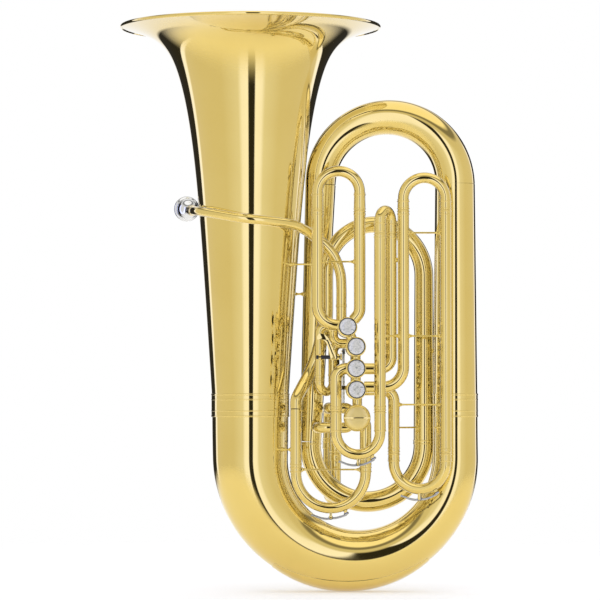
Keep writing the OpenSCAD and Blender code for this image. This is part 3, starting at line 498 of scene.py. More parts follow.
def ornament():
    """Pointed leaf that hugs the branch below its ferrule."""
    verts, faces = [], []
    rows = 18
    cols = 8
    for layer, r in ((0, BRANCH_R + 1.6), (1, BRANCH_R + 0.75)):
        for i in range(rows + 1):
            u = i / rows
            half = 9 * (1 - u) ** 0.75 * (1 + 0.25 * math.sin(math.pi * u * 1.5)) + 0.25
            for j in range(cols + 1):
                x = half * (2 * j / cols - 1)
                a = x / BRANCH_R
                verts.append(Vector((
                    BRANCH_X + r * math.sin(a), -r * math.cos(a), 304.4 - 17 * u)))
    size = (rows + 1) * (cols + 1)

    def at(layer, i, j):
        return layer * size + i * (cols + 1) + j

    for i in range(rows):
        for j in range(cols):
            faces.append([at(0, i, j), at(0, i, j + 1), at(0, i + 1, j + 1), at(0, i + 1, j)])
            faces.append([at(1, i, j), at(1, i + 1, j), at(1, i + 1, j + 1), at(1, i, j + 1)])
    edge = [(0, j) for j in range(cols + 1)] + [(i, cols) for i in range(1, rows + 1)]
    edge += [(rows, j) for j in range(cols - 1, -1, -1)] + [(i, 0) for i in range(rows - 1, 0, -1)]
    for k, (i, j) in enumerate(edge):
        m, n = edge[(k + 1) % len(edge)]
        faces.append([at(0, m, n), at(0, i, j), at(1, i, j), at(1, m, n)])
    return verts, faces


def branches():
    piece("bell_ferrule", [place(ferrule(BRANCH_R + 28.05, bell_r(641.5) + 0.1), (BELL_X, 0, 0))],
          "horn", BRASS, ["bell_ferrule"])
    piece("branch_ferrule",
          [place(ferrule(BRANCH_R + 0.05, BRANCH_R + 0.1), (BRANCH_X, 0, 0)), ornament()],
          "horn", BRASS, ["branch_ferrule"])
    path = line((BRANCH_X, 0, 322.1), (BRANCH_X, 0, TOP_Z), 8)
    radii = [BRANCH_R + (BRANCH_TOP - BRANCH_R) * k / 8 for k in range(9)]
    piece("outer_branch", [sweep(path, radii, 96, 1.0)], "horn", BRASS, ["outer_branch"])
    n = 120
    half = math.hypot(BRANCH_X - LEFT_X, 20) / 2
    a = math.atan2(-20, BRANCH_X - LEFT_X)
    x = (math.cos(a), math.sin(a), 0)
    path = arc(((LEFT_X + BRANCH_X) / 2, 10, TOP_Z + 0.1), half, 0, 180, x, (0, 0, 1), n)
    radii = [BRANCH_TOP + (TOP_SMALL - BRANCH_TOP) * (k / n) ** 0.85 for k in range(n + 1)]
    piece("top_bow", [sweep(path, radii, 96, 1.0)], "horn", BRASS, ["top_bow"])
    p, q = (IN_LX, IN_Y, IN_Z + 6), (LEFT_X, 20, TOP_Z - 0.1)
    radii = [IN_R + 0.4 + (TOP_SMALL - IN_R - 0.4) * k / 8 for k in range(9)]
    piece("left_branch", [sweep(line(p, q, 8), radii, 72, 1.0)], "horn", BRASS, ["left_branch"])
    r = (IN_RX - IN_LX) / 2
    path = joined(
        line((IN_LX, IN_Y, IN_Z + 5), (IN_LX, IN_Y, IN_Z)),
        arc((IN_LX + r, IN_Y, IN_Z), r, 180, 360, steps=96),
        line((IN_RX, IN_Y, IN_Z), (IN_RX, IN_Y, IN_Z + 9)))
    piece("inner_bow", [
        sweep(path, IN_R, 72, 1.0),
        collar((IN_LX, IN_Y, IN_Z + 0.6), (0, 0, 1), IN_R, 4, 1.2),
        collar((IN_RX, IN_Y, IN_Z + 1), (0, 0, 1), IN_R, 7.5, 1.2)],
        "horn", BRASS, ["inner_bow"])
    path = line((IN_RX, IN_Y, IN_Z + 9.1), (IN_RX, IN_Y, ARCH_Z - 0.1), 8)
    radii = [IN_R - 0.05 + (16.6 - IN_R + 0.05) * k / 8 for k in range(9)]
    piece("inner_branch", [sweep(path, radii, 64, 1.0)], "horn", BRASS, ["inner_branch"])
    n = 96
    d = math.hypot(IN_RX - 47.5, IN_Y + 21) / 2
    a = math.atan2(IN_Y + 21, IN_RX - 47.5)
    path = arc(((IN_RX + 47.5) / 2, (IN_Y - 21) / 2, ARCH_Z), d, 0, 180,
               (math.cos(a), math.sin(a), 0), (0, 0, 1), n)
    piece("inner_arch", [sweep(path, [16.6 - 3.9 * k / n for k in range(n + 1)], 64, 1.0)],
          "horn", BRASS, ["inner_arch"])
    path = spline([
        (47.5, -21, ARCH_Z - 0.1), (47.5, -21, 520), (47.4, -21, 490), (45.8, -20, 466),
        (39, -17, 438), (31, -16, 408), (18, -22, 378), (5.7, -36, 355),
        (-3.6, -47, 336), (*MAIN[0], 318)], 12)
    n = len(path) - 1
    radii = [12.6 if k / n < 0.25 else 12.6 - 2.6 * (k / n - 0.25) / 0.75 for k in range(n + 1)]
    piece("inner_crook", [sweep(path, radii, 56, 0.8)], "horn", BRASS, ["inner_crook"])


def leadpipe():
    path = spline([
        (-183.5, -25, 664), (-180.5, -41, 663), (-169, -64, 660.5), (-141, -88, 655),
        (-100, -101.8, 647.5), (-56, -98.2, 643), (-12, -77, 637.5), (10, -58, 629),
        (28, -46.5, 617), (46, -45, 603), (62, -45, 583), (72, -45, 555),
        (74, -45, 530), (74, -45, 500), (74, -45, 470)], 12)
    n = len(path) - 1
    radii = [7.6 + 1.4 * min(1, 1.4 * k / n) for k in range(n + 1)]
    parts = [sweep(path, radii, 48, 1.0)]
    for k in (4, n - 12):
        parts.append(collar(path[k], path[k + 1] - path[k], radii[k], 5, 0.7))
    piece("leadpipe", parts, "horn", BRASS, ["leadpipe"])
    at, way = (-183.5, -25, 664), (-0.15584, 0.98393, 0.08716)
    out = [(6.1, 0.2), (8.0, 0.2), (8.5, 1.4), (8.2, 2.6), (8.3, 12), (8.5, 20), (9.2, 21.6),
           (9.6, 23), (9.6, 25.2), (9.2, 26.2), (6.1, 26.2)]
    piece("receiver", [place(lathe(out, 64), at, way)], "horn", BRASS, ["receiver"])
    cup = [(3.6, 4), (6.05, 4), (6.05, 26), (5.9, 34), (6.3, 41), (7.2, 47), (9.2, 53.5),
           (12.6, 60), (15.2, 65), (17, 70), (18, 76), (18.4, 83), (18.3, 87.5), (19.2, 89.4),
           (21, 92), (22.1, 94.6), (22.4, 97), (22.0, 99), (20.9, 100.6), (19.3, 101.2),
           (17.6, 100.7), (16.5, 99), (15.9, 95.5), (15.1, 89), (13.6, 82), (11.6, 76),
           (9.2, 71), (6.8, 66.5), (5, 63), (4.1, 59), (3.7, 50)]
    piece("mouthpiece", [place(lathe(cup, 96), at, way)], "mouthpiece", NICKEL, ["mouthpiece"])


# ---------------------------------------------------------------- fixed small tubes
def open_end(x, y, z, up):
    """Rolled collar on the mouth of a fixed slide tube."""
    return collar((x, y, z - 4 if up else z), (0, 0, 1), OUT_R, 4, 0.8)


def small_tubes():
    def tube(name, runs, ends=(), r=OUT_R, wall=0.6, extra=(), stand=None):
        parts = [sweep(run, r, 48, wall) for run in runs]
        parts += [open_end(*e) for e in ends] + list(extra)
        piece(name, parts, "horn", BRASS, [stand or name])

    (ax, ay), (bx, _) = S1
    tube("first_tubes", [
        joined(line((ax, ay, 658), (ax, ay, 497.5)),
               arc((ax + 34, ay, 497.5), 34, 180, 270, steps=32),
               line((ax + 34, ay, 463.5), (71, ay, 463.5))),
        joined(line((bx, ay, 658), (bx, ay, 493)),
               arc((bx - 22, ay, 493), 22, 0, -40, steps=20),
               line((bx - 22 + 22 * math.cos(math.radians(40)), ay, 493 - 22 * math.sin(math.radians(40))),
                    (94.8, ay, 472.2)))],
        [(ax, ay, 658, 1), (bx, ay, 658, 1)])
    (lx, ly), (rx, ry) = S2
    tube("second_tubes", [
        joined(line((lx, ly, 375), (lx, ly, 450)),
               arc(((lx + rx) / 2, ly, 450), (rx - lx) / 2, 180, 0, steps=40),
               line((rx, ly, 450), (rx, ly, 446)),
               arc((rx + 14, ly, 446), 14, 180, 270, steps=20),
               line((rx + 14, ly, 432), (86, ly, 432))),
        joined(line((rx, ry, 375), (rx, ry, 418)),
               arc((rx + 14, ry, 418), 14, 180, 90, steps=20),
               line((rx + 14, ry, 432), (86, ry, 432)))],
        r=8.4, wall=0.5, extra=[
            collar((lx, ly, 375), (0, 0, 1), 8.4, 4, 0.8),
            collar((rx, ry, 375), (0, 0, 1), 8.4, 4, 0.8)])
    (x, y), (fx, _) = S3
    tube("third_left_tube", [joined(
        line((x, y, 321), (x, y, 370.2)),
        arc((x + 18, y, 370.2), 18, 180, 90, steps=24),
        line((x + 18, y, 388.2), (84, y, 388.2)))], [(x, y, 321, 0)])
    tube("third_long_tube", [line((fx, y, 321), (fx, y, 617.5), 4)],
         [(fx, y, 321, 0), (fx, y, 617.5, 1)])
    x, y = S3B
    tube("third_back_tube", [joined(
        line((x, y, 617.5), (x, y, 408.2), 4),
        arc((x - 20, y, 408.2), 20, 0, -90, steps=24),
        line((x - 20, y, 388.2), (113.5, y, 388.2)))], [(x, y, 617.5, 1)])
    (x, y), (fx, _) = S4
    tube("fourth_left_tube", [joined(
        line((x, y, 659), (x, y, 391.2), 4),
        arc((x - 34.7, y, 391.2), 34.7, 0, -90, steps=32),
        line((x - 34.7, y, 356.5), (113.5, y, 356.5)))], [(x, y, 659, 1)])
    tube("fourth_long_tube", [line((fx, y, 248.6), (fx, y, 659), 4)],
         [(fx, y, 248.6, 0), (fx, y, 659, 1)])
    x, y = S4L
    tube("fourth_low_tube", [joined(
        line((x, y, 248.6), (x, y, 331.6)),
        arc((x - 20, y, 331.6), 20, 0, 90, steps=24),
        line((x - 20, y, 351.6), (113.5, y, 351.6)))], [(x, y, 248.6, 0)])
    (x, y), (fx, _) = MAIN
    tube("tuning_tubes", [
        line((x, y, 221), (x, y, 317.9), 4),
        joined(line((fx, y, 221), (fx, y, 288)), arc((fx - 11, y, 288), 11, 0, 45, steps=16))],
        [(x, y, 221, 0), (fx, y, 221, 0)])


def rear_tubes():
    r = 9.3
    x0, y0, z0 = 100.8, -50, 302.9
    corner = x0 - (17 - 2.929) - 7.071
    (ax, ay), (bx, by) = S5
    z = z0 + 17
    up = joined(
        arc((corner, y0, z0 + 7), 10, 45, 90, steps=12),
        line((corner, y0, z), (ax + 16, y0, z)),
        arc((ax + 16, y0 + 16, z), 16, 270, 180, (1, 0, 0), (0, 1, 0), 24),
        line((ax, y0 + 16, z), (ax, ay - 16, z), 4),
        arc((ax, ay - 16, z - 16), 16, 90, 0, (0, 1, 0), (0, 0, 1), 24),
        line((ax, ay, z - 16), (ax, ay, 262)))
    piece("fifth_upper_tube", [sweep(up, r, 48, 0.6), collar((ax, ay, 262), (0, 0, 1), r, 5, 1.4),
                               collar((ax, -18, z), (0, 1, 0), r, 6, 0.7)],
          "horn", BRASS, ["fifth_upper_tube"])
    z = z0 - 17
    low = joined(
        arc((corner, y0, z0 - 7), 10, -45, -90, steps=12),
        line((corner, y0, z), (48.9, y0, z)),
        arc((48.9, y0 + 16, z), 16, 270, 90, (1, 0, 0), (0, 1, 0), 40),
        arc((48.9, y0 + 48, z), 16, 270, 360, (1, 0, 0), (0, 1, 0), 24),
        line((bx, y0 + 48, z), (bx, by - 13, z), 4),
        arc((bx, by - 13, z - 13), 13, 90, 0, (0, 1, 0), (0, 0, 1), 24),
        line((bx, by, z - 13), (bx, by, 240)))
    piece("fifth_lower_tube", [sweep(low, r, 48, 0.6), collar((bx, by, 240), (0, 0, 1), r, 5, 1.4),
                               collar((bx, 6, z), (0, 1, 0), r, 6, 0.7)],
          "horn", BRASS, ["fifth_lower_tube"])


# ---------------------------------------------------------------- moving slides
def slide(name, a, b, z_bow, z_open, reach, up, r=LEG_R, cuff=CUFF_R, extra=()):
    """Two legs, a half-round bow and a beaded ferrule on each leg."""
    a3, b3 = Vector((*a, z_bow)), Vector((*b, z_bow))
    mid, half = (a3 + b3) / 2, (b3 - a3).length / 2
    x = (b3 - a3).normalized()
    s = 1 if up else -1
    tip = z_open - s * reach
    path = joined(
        line((*a, tip), a3, 4), arc(mid, half, 180, 180 - 180 * s, x, (0, 0, 1), 64),
        line(b3, (*b, tip), 4))
    parts = [sweep(path, r, 48, 0.8 if r > 8.5 else 0.6)]
    low, high = sorted((z_bow - s * 1.0, z_open + s * 0.4))
    for q in (a, b):
        height = high - low
        base = cuff - 0.7
        out = [(r - 0.1, 0), (base - 0.5, 0)]
        for z in ringed(height, s > 0):
            out += [(base - 0.5, z - 1.7), (base - 0.5, z - 1.1)]
            for k in range(9):
                t = math.radians(-90 + 22.5 * k)
                out.append((base + 0.7 * math.cos(t), z + 1.1 * math.sin(t)))
            out += [(base - 0.5, z + 1.1), (base - 0.5, z + 1.7), (base, z + 1.9)]
        out += [(base, height), (r - 0.1, height)]
        out = [q for i, q in enumerate(out) if i == 0 or q != out[i - 1]]
        parts.append(place(lathe(out, 48), (*q, low)))
    parts += list(extra)
    piece(name, parts, name, BRASS, [name])


def ringed(height, up):
    """Heights of the beads on a slide ferrule: a pair at the mouth end, one at the bow end."""
    spots = [1.9, 6.4, height - 3.9] if height > 14 else [1.9, height - 3.9]
    return spots if up else [height - 2.0 - q for q in reversed(spots)]


def key_frame(a, b):
    """Middle of a bow's span and its direction across."""
    a, b = Vector((*a, 0)), Vector((*b, 0))
    return (a + b) / 2, (b - a).normalized(), (b - a).length / 2 + LEG_R


def key_seat(a, b, z_bow, dx):
    """Nipple under the pad, the two hinge ears and the pin of a water key."""
    mid, x, ro = key_frame(a, b)
    y = Vector((0, 0, 1)).cross(x)
    c = Vector((mid.x, mid.y, z_bow))
    ang = -math.acos(dx / (ro + 5))
    out = math.cos(ang) * x + math.sin(ang) * Vector((0, 0, 1))
    parts = [place(lathe([(0.8, 0), (3.4, 0), (3.4, 2.6), (3.0, 4.2), (0.8, 4.2)], 32),
                   c + out * (ro - 1.4), out)]
    for s in (-1, 1):
        ear = bevelled([(-2.4, 2.4), (-2.4, -7), (-1.2, -9.4), (1.2, -9.4), (2.4, -7), (2.4, 2.4)],
                       1.6, 0.3)
        turned = [c + v.x * x + (v.z - 0.8 + s * 5.2) * y + Vector((0, 0, v.y - ro)) for v in ear[0]]
        parts.append((turned, ear[1]))
    hub = c + Vector((0, 0, -ro - 7))
    parts.append(sweep(line(hub - y * 6.4, hub + y * 6.4), 1.25, 20))
    return parts


def water_key(name, a, b, z_bow, dx, body):
    """Nickel lever with a curved finger arm, a cork-faced cup, and a coil spring on its hub."""
    mid, x, ro = key_frame(a, b)
    up = Vector((0, 0, 1))
    y = up.cross(x)
    c = Vector((mid.x, mid.y, z_bow))

    def at(u, v, w=0.0):
        return c + u * x + v * up + w * y

    parts = [place(lathe([(1.3, 0), (2.6, 0), (3, 0.5), (3, 7.5), (2.6, 8), (1.3, 8)], 36),
                   at(0, -ro - 7) - y * 4, y)]
    finger = spline([at(-1.4, -ro - 8.6), at(-8, -ro - 9.3), at(-18, -ro - 7.6),
                     at(-26, -ro - 4.6), at(-33.5, -ro - 2.4)], 8)
    n = len(finger) - 1
    parts.append(sweep(finger, [2.1 - 0.4 * k / n + (0.6 if k > n - 3 else 0) for k in range(n + 1)], 24))
    ang = -math.acos(dx / (ro + 5))
    out = math.cos(ang) * x + math.sin(ang) * up
    pad = c + out * (ro + 3.4)
    arm = spline([at(1.4, -ro - 8.4), at(dx * 0.35, -ro - 7.6),
                  at(dx * 0.72, math.sin(-math.acos(dx * 0.72 / (ro + 7.4))) * (ro + 7.4)),
                  c + out * (ro + 7.0)], 8)
    parts.append(sweep(arm, [2.0 - 0.3 * k / (len(arm) - 1) for k in range(len(arm))], 24))
    parts.append(place(lathe([(0, 1.2), (4.5, 1.2), (4.6, 1.6), (4.5, 2.6),
                              (3.8, 3.5), (2.2, 4.1), (0, 4.2)], 40), pad, out))
    for s in (-1, 1):
        parts.append(place(lathe([(1.32, 0), (3.3, 0), (3.3, 0.5), (1.32, 0.5)], 30),
                           at(0, -ro - 7) + y * (s * 3.4 - 0.25), y))
    piece(name, parts, body, KEY_NICKEL, [name])
    cork = place(lathe([(0, 0.02), (3.9, 0.02), (4.3, 0.4), (4.3, 1.15), (0, 1.15)], 32), pad, out)
    piece(name + "_cork", [cork], body, CORK)
    coil = []
    for k in range(97):
        t = math.tau * k / 32
        coil.append(at(0, -ro - 7) + 3.55 * (math.cos(t) * x + math.sin(t) * up)
                    + y * (-2.4 + 1.6 * k / 96))
    piece(name + "_spring", [sweep(coil, 0.3, 10)], body, STEEL)


def slides():
    slide("slide_1", *S1, 694, 658, 90, True)
    slide("slide_2", *S2, 364, 375, 34, False, 7.85, 9.0)
    slide("slide_3_upper", S3[1], S3B, 644, 617.5, 90, True)
    slide("slide_4_upper", *S4, 683, 659, 90, True)
    slide("slide_3_lower", *S3, 277.9, 321, 44, False,
          extra=key_seat(*S3, 277.9, 27))
    slide("slide_4_lower", S4L, S4[1], 225.5, 248.6, 60, False,
          extra=key_seat(S4L, S4[1], 225.5, 30))
    slide("tuning_slide", *MAIN, 207, 221, 60, False,
          extra=key_seat(*MAIN, 207, 27)
          + [strut(MAIN[0], CUFF_R - 0.4, MAIN[1], CUFF_R - 0.4, 213.5)])
    water_key("water_key_3", *S3, 277.9, 27, "water_key_3")
    water_key("water_key_4", S4L, S4[1], 225.5, 30, "water_key_4")
    water_key("water_key_tuning", *MAIN, 207, 27, "water_key_tuning")
    a, b = Vector((*S5[0], 172)), Vector((*S5[1], 172))
    x = (b - a).normalized()
    path = joined(line((*S5[0], 295), a, 4),
                  arc((a + b) / 2, (b - a).length / 2, 180, 360, x, (0, 0, 1), 48),
                  line(b, (*S5[1], 268), 4))
    parts = [sweep(path, LEG_R, 48, 0.8)]
    for q, z in ((S5[0], 261.5), (S5[1], 239.5)):
        parts.append(collar((*q, z - 13.5), (0, 0, 1), LEG_R + 0.4, 13.4, 1.1, LEG_R - 0.1))
    piece("slide_5", parts, "slide_5", BRASS, ["slide_5"])


# ---------------------------------------------------------------- pistons and rotor
def pistons():
    caps, casings, bottoms = [], [], []
    for k in range(4):
        x, z = PISTON_X[k], PISTON_Z[k]
        front = (0, -1, 0)

        def at(y):
            return (x, y, z)

        barrel = [(14.6, 0), (16, 0), (16, 3), (15.7, 3.4), (15.7, 4.2), (16, 4.6), (16, 107),
                  (15.7, 107.4), (15.7, 108.4), (16, 108.8), (16, 112), (14.6, 112)]
        casings.append(place(lathe(barrel, 96), at(20), front))
        cap = [(3.6, 0), (16.6, 0), (17.0, 0.5), (17.0, 1.6), (16.4, 2.0)]
        knurl = lathe([(15, 2.0), (16.7, 2.0), (17.1, 2.5), (17.1, 6.9), (16.7, 7.4), (15, 7.4)],
                      144, lambda i, r, h: (0.28 if i % 2 else -0.28) if r > 16.9 else 0)
        cap += [(16.2, 2.2), (16.2, 7.2), (16.4, 7.4), (17, 7.8), (17.1, 8.6), (16.6, 9.3),
                (14.8, 10.2), (11, 10.9), (5.5, 11), (5.2, 10.4), (4, 10.4), (3.6, 10.0)]
        caps.append(place(lathe(cap, 96), at(-92.02), front))
        caps.append(place(knurl, at(-92.02), front))
        bottom = [(3, 3), (3, 9.2), (5.5, 9.8), (9, 9.9), (12.6, 8.2), (14.6, 6.9), (16.2, 6.6),
                  (17.0, 5.9), (17.1, 5), (16.6, 4.4), (16.6, 2.6), (17.1, 2), (17.1, 0.8),
                  (16.6, 0), (13.6, 0), (13.6, 3)]
        bottoms.append(place(lathe(bottom, 96), at(20.02), (0, 1, 0)))
        name = f"piston_{k + 1}"
        body = [(0, 2), (14.2, 2), (14.5, 2.5), (14.5, 85.4), (14.1, 86), (3.2, 86), (3.2, 128),
                (4.2, 129), (4.6, 130.4), (7.5, 131.2), (13, 132), (15.2, 132.8), (15.7, 133.8),
                (15.7, 139.0), (15.5, 139.45), (15.2, 139.6), (15.1, 139.5), (15.05, 139.2),
                (15.05, 135.4), (0, 135.4)]
        piece(name, [place(lathe(body, 96), at(0), front)], name, BRASS, [name])
        dome = [(0, 135.45), (13.8, 135.45), (13.8, 138.4), (13.5, 139.0), (12.8, 139.5),
                (11, 139.95), (7, 140.15), (0, 140.22)]
        piece(f"pearl_{k + 1}", [place(lathe(dome, 72), at(0), front)], name, PEARL,
              [f"pearl_{k + 1}"], 60)
        # Painted shade: a near-black dark-steel ring round each pearl stands in for the shadow and dark
        # reflection in the gap between pearl and rim
        shade_ring = [(13.85, 135.5), (15.0, 135.5), (15.0, 139.1), (14.8, 139.35), (14.1, 139.35),
                (13.85, 139.1)]
        piece(f"pearl_shade_ring_{k + 1}", [place(lathe(shade_ring, 72), at(0), front)], name, STEEL)
        felt = [(3.4, 0), (8.6, 0), (9, 0.4), (9, 2.2), (8.6, 2.6), (3.4, 2.6)]
        piece(f"felt_{k + 1}", [place(lathe(felt, 48), at(-128.2 + 2.6), front)], name, FELT)
        piece(f"cap_felt_{k + 1}", [place(lathe(
            [(3.9, 0), (8.8, 0), (9.2, 0.4), (9.2, 1.6), (8.8, 2), (3.9, 2)], 48),
            at(-103.0), front)], "horn", FELT)
    piece("casing_barrels", casings, "horn", BRASS)
    piece("top_caps", caps, "horn", BRASS, ["top_caps"])
    piece("bottom_caps", bottoms, "horn", BRASS, ["bottom_caps"])
    bridges = []
    for k in range(3):
        for y in (-62, -6):
            a = Vector((PISTON_X[k], y, PISTON_Z[k]))
            b = Vector((PISTON_X[k + 1], y, PISTON_Z[k + 1]))
            v = (b - a).normalized()
            bridges.append(place(lathe([(0, 0), (8.5, 0), (8.5, (b - a).length - 26),
                                        (0, (b - a).length - 26)], 40), a + 13 * v, v))
    bridges.append(place(lathe([(0, 0), (8.5, 0), (8.5, 14), (0, 14)], 40), (101.6, -38, 323.5)))
    piece("casing_bridges", bridges, "horn", BRASS, ["valve_casings"])


def rotor():
    at = (100.8, -8, 302.9)
    shell = [(4.06, 0), (20.6, 0), (21.6, 0.6), (22, 1.6), (22, 4), (21.6, 4.5), (21.6, 5.3),
             (22, 5.8), (22, 57), (21.6, 57.4), (21.6, 58.2), (22, 58.6), (22, 62), (19, 62),
             (19, 3), (4.06, 3)]
    piece("rotor_casing", [place(lathe(shell, 96), at, (0, -1, 0))], "horn", BRASS,
          ["rotor_casing"])
    ring = [(20.5, 0), (22.6, 0), (23.2, 0.6), (23.4, 1.6), (23.1, 2.9), (22.3, 3.9), (21.4, 4.5),
            (20.9, 4.3), (20.5, 3.9)]
    front = (100.8, -70.02, 302.9)
    piece("rotor_cap", [place(lathe(ring, 96), front, (0, -1, 0)),
                        block((78, -76.45, 301.7), (123.6, -74.6, 304.1), 0.35)],
          "horn", BRASS, ["rotor_cap"])
    face = [(0, 1.5), (20.45, 1.5), (20.45, 3.8), (19.8, 4.1), (19.2, 4.7), (18.6, 4.9), (10, 5.25),
            (3.2, 5.35), (0, 5.35)]
    piece("rotor_cap_face", [place(lathe(face, 96), front, (0, -1, 0))], "horn", SATIN)


# ---------------------------------------------------------------- thumb lever and braces
def lever():
    axle = lathe([(0, 0), (2.9, 0), (3.4, 0.6), (3.4, 44.4), (2.9, 45), (0, 45)], 40)
    piece("thumb_axle", [place(axle, (30, -76, 408), (1, 0, 0))], "thumb_lever", STEEL)
    hub = lathe([(3.41, 0), (5.2, 0), (5.6, 0.5), (5.6, 8.5), (5.2, 9), (3.41, 9)], 40)
    parts = [place(hub, (55, -76, 408), (1, 0, 0))]
    edge = spline([
        (55.2, 404, 0), (64, 404.4, 0), (63.8, 412, 0), (59.4, 422, 0), (55, 432, 0),
        (51.5, 440, 0), (46.6, 445.8, 0), (40, 448.8, 0), (34.2, 447.6, 0), (31.1, 443, 0),
        (31.7, 438.6, 0), (35.5, 437.3, 0), (42, 437.8, 0), (47, 433, 0), (50, 425, 0),
        (53, 414, 0)], 4)
    plate = bevelled([(p.x, p.y) for p in edge], 2.6, 0.5)
    parts.append(([Vector((v.x, -80.6 - v.z, v.y)) for v in plate[0]], plate[1]))
    tilt = math.radians(7.67)
    turn = Matrix.Rotation(tilt, 3, "X")
    arm = []
    for k in range(13):
        a = math.radians(90 + 15 * k)
        arm.append((6 * math.cos(a), 6 * math.sin(a)))
    for k in range(13):
        a = math.radians(-90 + 15 * k)
        arm.append((84.75 + 3.4 * math.cos(a), 3.4 * math.sin(a)))
    flat = bevelled(arm, 2.6, 0.4)
    verts = [turn @ Vector((v.z, v.x, v.y)) + Vector((72, -76, 408)) for v in flat[0]]
    parts.append((verts, flat[1]))
    end = turn @ Vector((0, 84.75, 0)) + Vector((72, -76, 408))
    parts.append(sweep(line(end, end + Vector((8, 0, 0))), 1.6, 24))
    piece("thumb_lever", parts, "thumb_lever", BRASS, ["thumb_lever"])


def braces():
    o = OUT_R
    parts = [
        strut(S1[0], o, S1[1], o, 573.5), strut(S4[0], o, S4[1], o, 624),
        strut(S4[0], o, S4[1], o, 445), strut(S3[1], o, S4[0], o, 445),
        strut(S3B, o, S4[0], o, 577), strut(S4L, o, S4[1], o, 326),
        strut(S4L, o, (IN_RX, IN_Y), 18.3, 286)]
    piece("slide_braces", parts, "horn", ROD_BRASS, ["slide_braces"])
    parts = [
        strut((BELL_X, 0), bell_r(417.5), S1[0], o, 569.5),
        strut((BELL_X, 0), BRANCH_R + 28, MAIN[0], o, 248),
        strut((BELL_X, 0), bell_r(467), (30.8, 23.4), 23.5, 520),
        strut((IN_RX, IN_Y), 17.5, (BRANCH_X, 0), 38.1, 420)]
    piece("bell_braces", parts, "horn", ROD_BRASS, ["bell_braces"])


bell()
bottom_bow()
branches()
leadpipe()
small_tubes()
rear_tubes()
slides()
pistons()
rotor()
lever()
braces()

# CAD nodes that stay as they are get the same finishes
for name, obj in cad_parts.items():
    if not obj.hide_render:
        material = {"link_rod": NICKEL}.get(name, BRASS)
        obj.data.materials.clear()
        obj.data.materials.append(material)
        for poly in obj.data.polygons:
            poly.material_index = 0


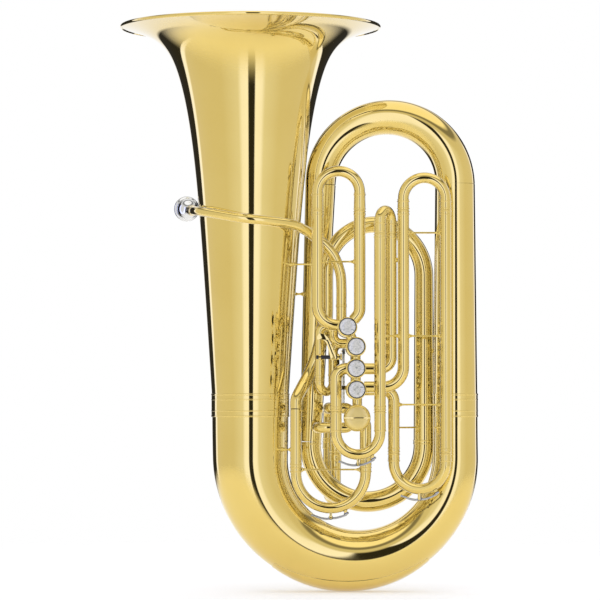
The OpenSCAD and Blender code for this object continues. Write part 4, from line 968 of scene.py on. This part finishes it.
# ---------------------------------------------------------------- studio
def studio():
    world = bpy.data.worlds.new("studio")
    bpy.context.scene.world = world
    world.use_nodes = True
    tree = world.node_tree
    tree.nodes.clear()

    def math_node(kind, a, b=None, clamp=False):
        node = tree.nodes.new("ShaderNodeMath")
        node.operation = kind
        node.use_clamp = clamp
        for i, v in enumerate((a, b)):
            if v is None:
                continue
            if isinstance(v, (int, float)):
                node.inputs[i].default_value = v
            else:
                tree.links.new(v, node.inputs[i])
        return node.outputs[0]

    coord = tree.nodes.new("ShaderNodeTexCoord")
    split = tree.nodes.new("ShaderNodeSeparateXYZ")
    tree.links.new(coord.outputs["Generated"], split.inputs[0])
    x, y, z = split.outputs
    turn = math_node("ARCTAN2", x, math_node("MULTIPLY", y, -1))
    turn = math_node("SUBTRACT", turn, math.radians(3))
    turn = math_node("DIVIDE", math_node("ABSOLUTE", turn), math.pi)
    node = tree.nodes.new("ShaderNodeValToRGB")
    stops = [
        (0.0, (0.03, 0.03, 0.03)), (0.03, (0.03, 0.03, 0.03)), (0.037, (1.3, 1.42, 2.4)),
        (0.1, (1.22, 1.34, 2.2)), (0.135, (0.95, 1.0, 1.25)), (0.3, (0.84, 0.84, 0.86)),
        (0.66, (0.84, 0.84, 0.86)), (0.68, (1.3, 1.42, 2.2)), (0.715, (1.3, 1.42, 2.2)),
        (0.725, (0.03, 0.03, 0.03)), (0.915, (0.03, 0.03, 0.03)), (0.93, (1.0, 1.0, 1.0))]
    points = node.color_ramp.elements
    while len(points) < len(stops):
        points.new(0.5)
    for point, (at, colour) in zip(points, stops):
        point.position = at
        point.color = (*colour, 1)
    tree.links.new(turn, node.inputs["Fac"])
    high = tree.nodes.new("ShaderNodeMapRange")
    high.interpolation_type = "SMOOTHSTEP"
    high.inputs["From Min"].default_value = 0.40
    high.inputs["From Max"].default_value = 0.52
    tree.links.new(z, high.inputs["Value"])
    mix = tree.nodes.new("ShaderNodeMix")
    mix.data_type = "RGBA"
    tree.links.new(high.outputs["Result"], mix.inputs["Factor"])
    tree.links.new(node.outputs["Color"], mix.inputs["A"])
    ceiling = tree.nodes.new("ShaderNodeValToRGB")
    bands = [(0.0, 0.86), (0.60, 0.80), (0.66, 0.28), (0.73, 0.28), (0.79, 1.25), (1.0, 1.25)]
    points = ceiling.color_ramp.elements
    while len(points) < len(bands):
        points.new(0.5)
    for point, (at, level) in zip(points, bands):
        point.position = at
        point.color = (level, level, level * 1.02, 1)
    tree.links.new(z, ceiling.inputs["Fac"])
    tree.links.new(ceiling.outputs["Color"], mix.inputs["B"])
    seen = tree.nodes.new("ShaderNodeLightPath")
    both = tree.nodes.new("ShaderNodeMix")
    both.data_type = "RGBA"
    tree.links.new(seen.outputs["Is Camera Ray"], both.inputs["Factor"])
    tree.links.new(mix.outputs["Result"], both.inputs["A"])
    both.inputs["B"].default_value = (1, 1, 1, 1)
    back = tree.nodes.new("ShaderNodeBackground")
    tree.links.new(both.outputs["Result"], back.inputs["Color"])
    out = tree.nodes.new("ShaderNodeOutputWorld")
    tree.links.new(back.outputs[0], out.inputs[0])

    # Pale floor that fades into the white background
    mesh = bpy.data.meshes.new("floor")
    ring = [(2.4 * math.cos(math.tau * k / 96), 2.4 * math.sin(math.tau * k / 96), 0)
            for k in range(96)]
    mesh.from_pydata(ring, [], [list(range(96))])
    floor = bpy.data.objects.new("floor", mesh)
    bpy.context.scene.collection.objects.link(floor)
    floor.location.z = -0.0005
    mat, tree, shader, coord = nodes_of("pale_floor")
    shader.inputs["Base Color"].default_value = (0.9, 0.9, 0.9, 1)
    shader.inputs["Roughness"].default_value = 0.85
    shader.inputs["Emission Color"].default_value = (1, 1, 1, 1)
    shader.inputs["Emission Strength"].default_value = 0.3
    length = tree.nodes.new("ShaderNodeVectorMath")
    length.operation = "LENGTH"
    tree.links.new(coord.outputs["Object"], length.inputs[0])
    fade = tree.nodes.new("ShaderNodeMapRange")
    fade.interpolation_type = "SMOOTHSTEP"
    fade.inputs["From Min"].default_value = 0.7
    fade.inputs["From Max"].default_value = 2.3
    fade.inputs["To Min"].default_value = 1
    fade.inputs["To Max"].default_value = 0
    tree.links.new(length.outputs["Value"], fade.inputs["Value"])
    tree.links.new(fade.outputs["Result"], shader.inputs["Alpha"])
    mesh.materials.append(mat)


studio()
view = bpy.context.scene.view_settings
view.view_transform = "Standard"
view.look = "None"
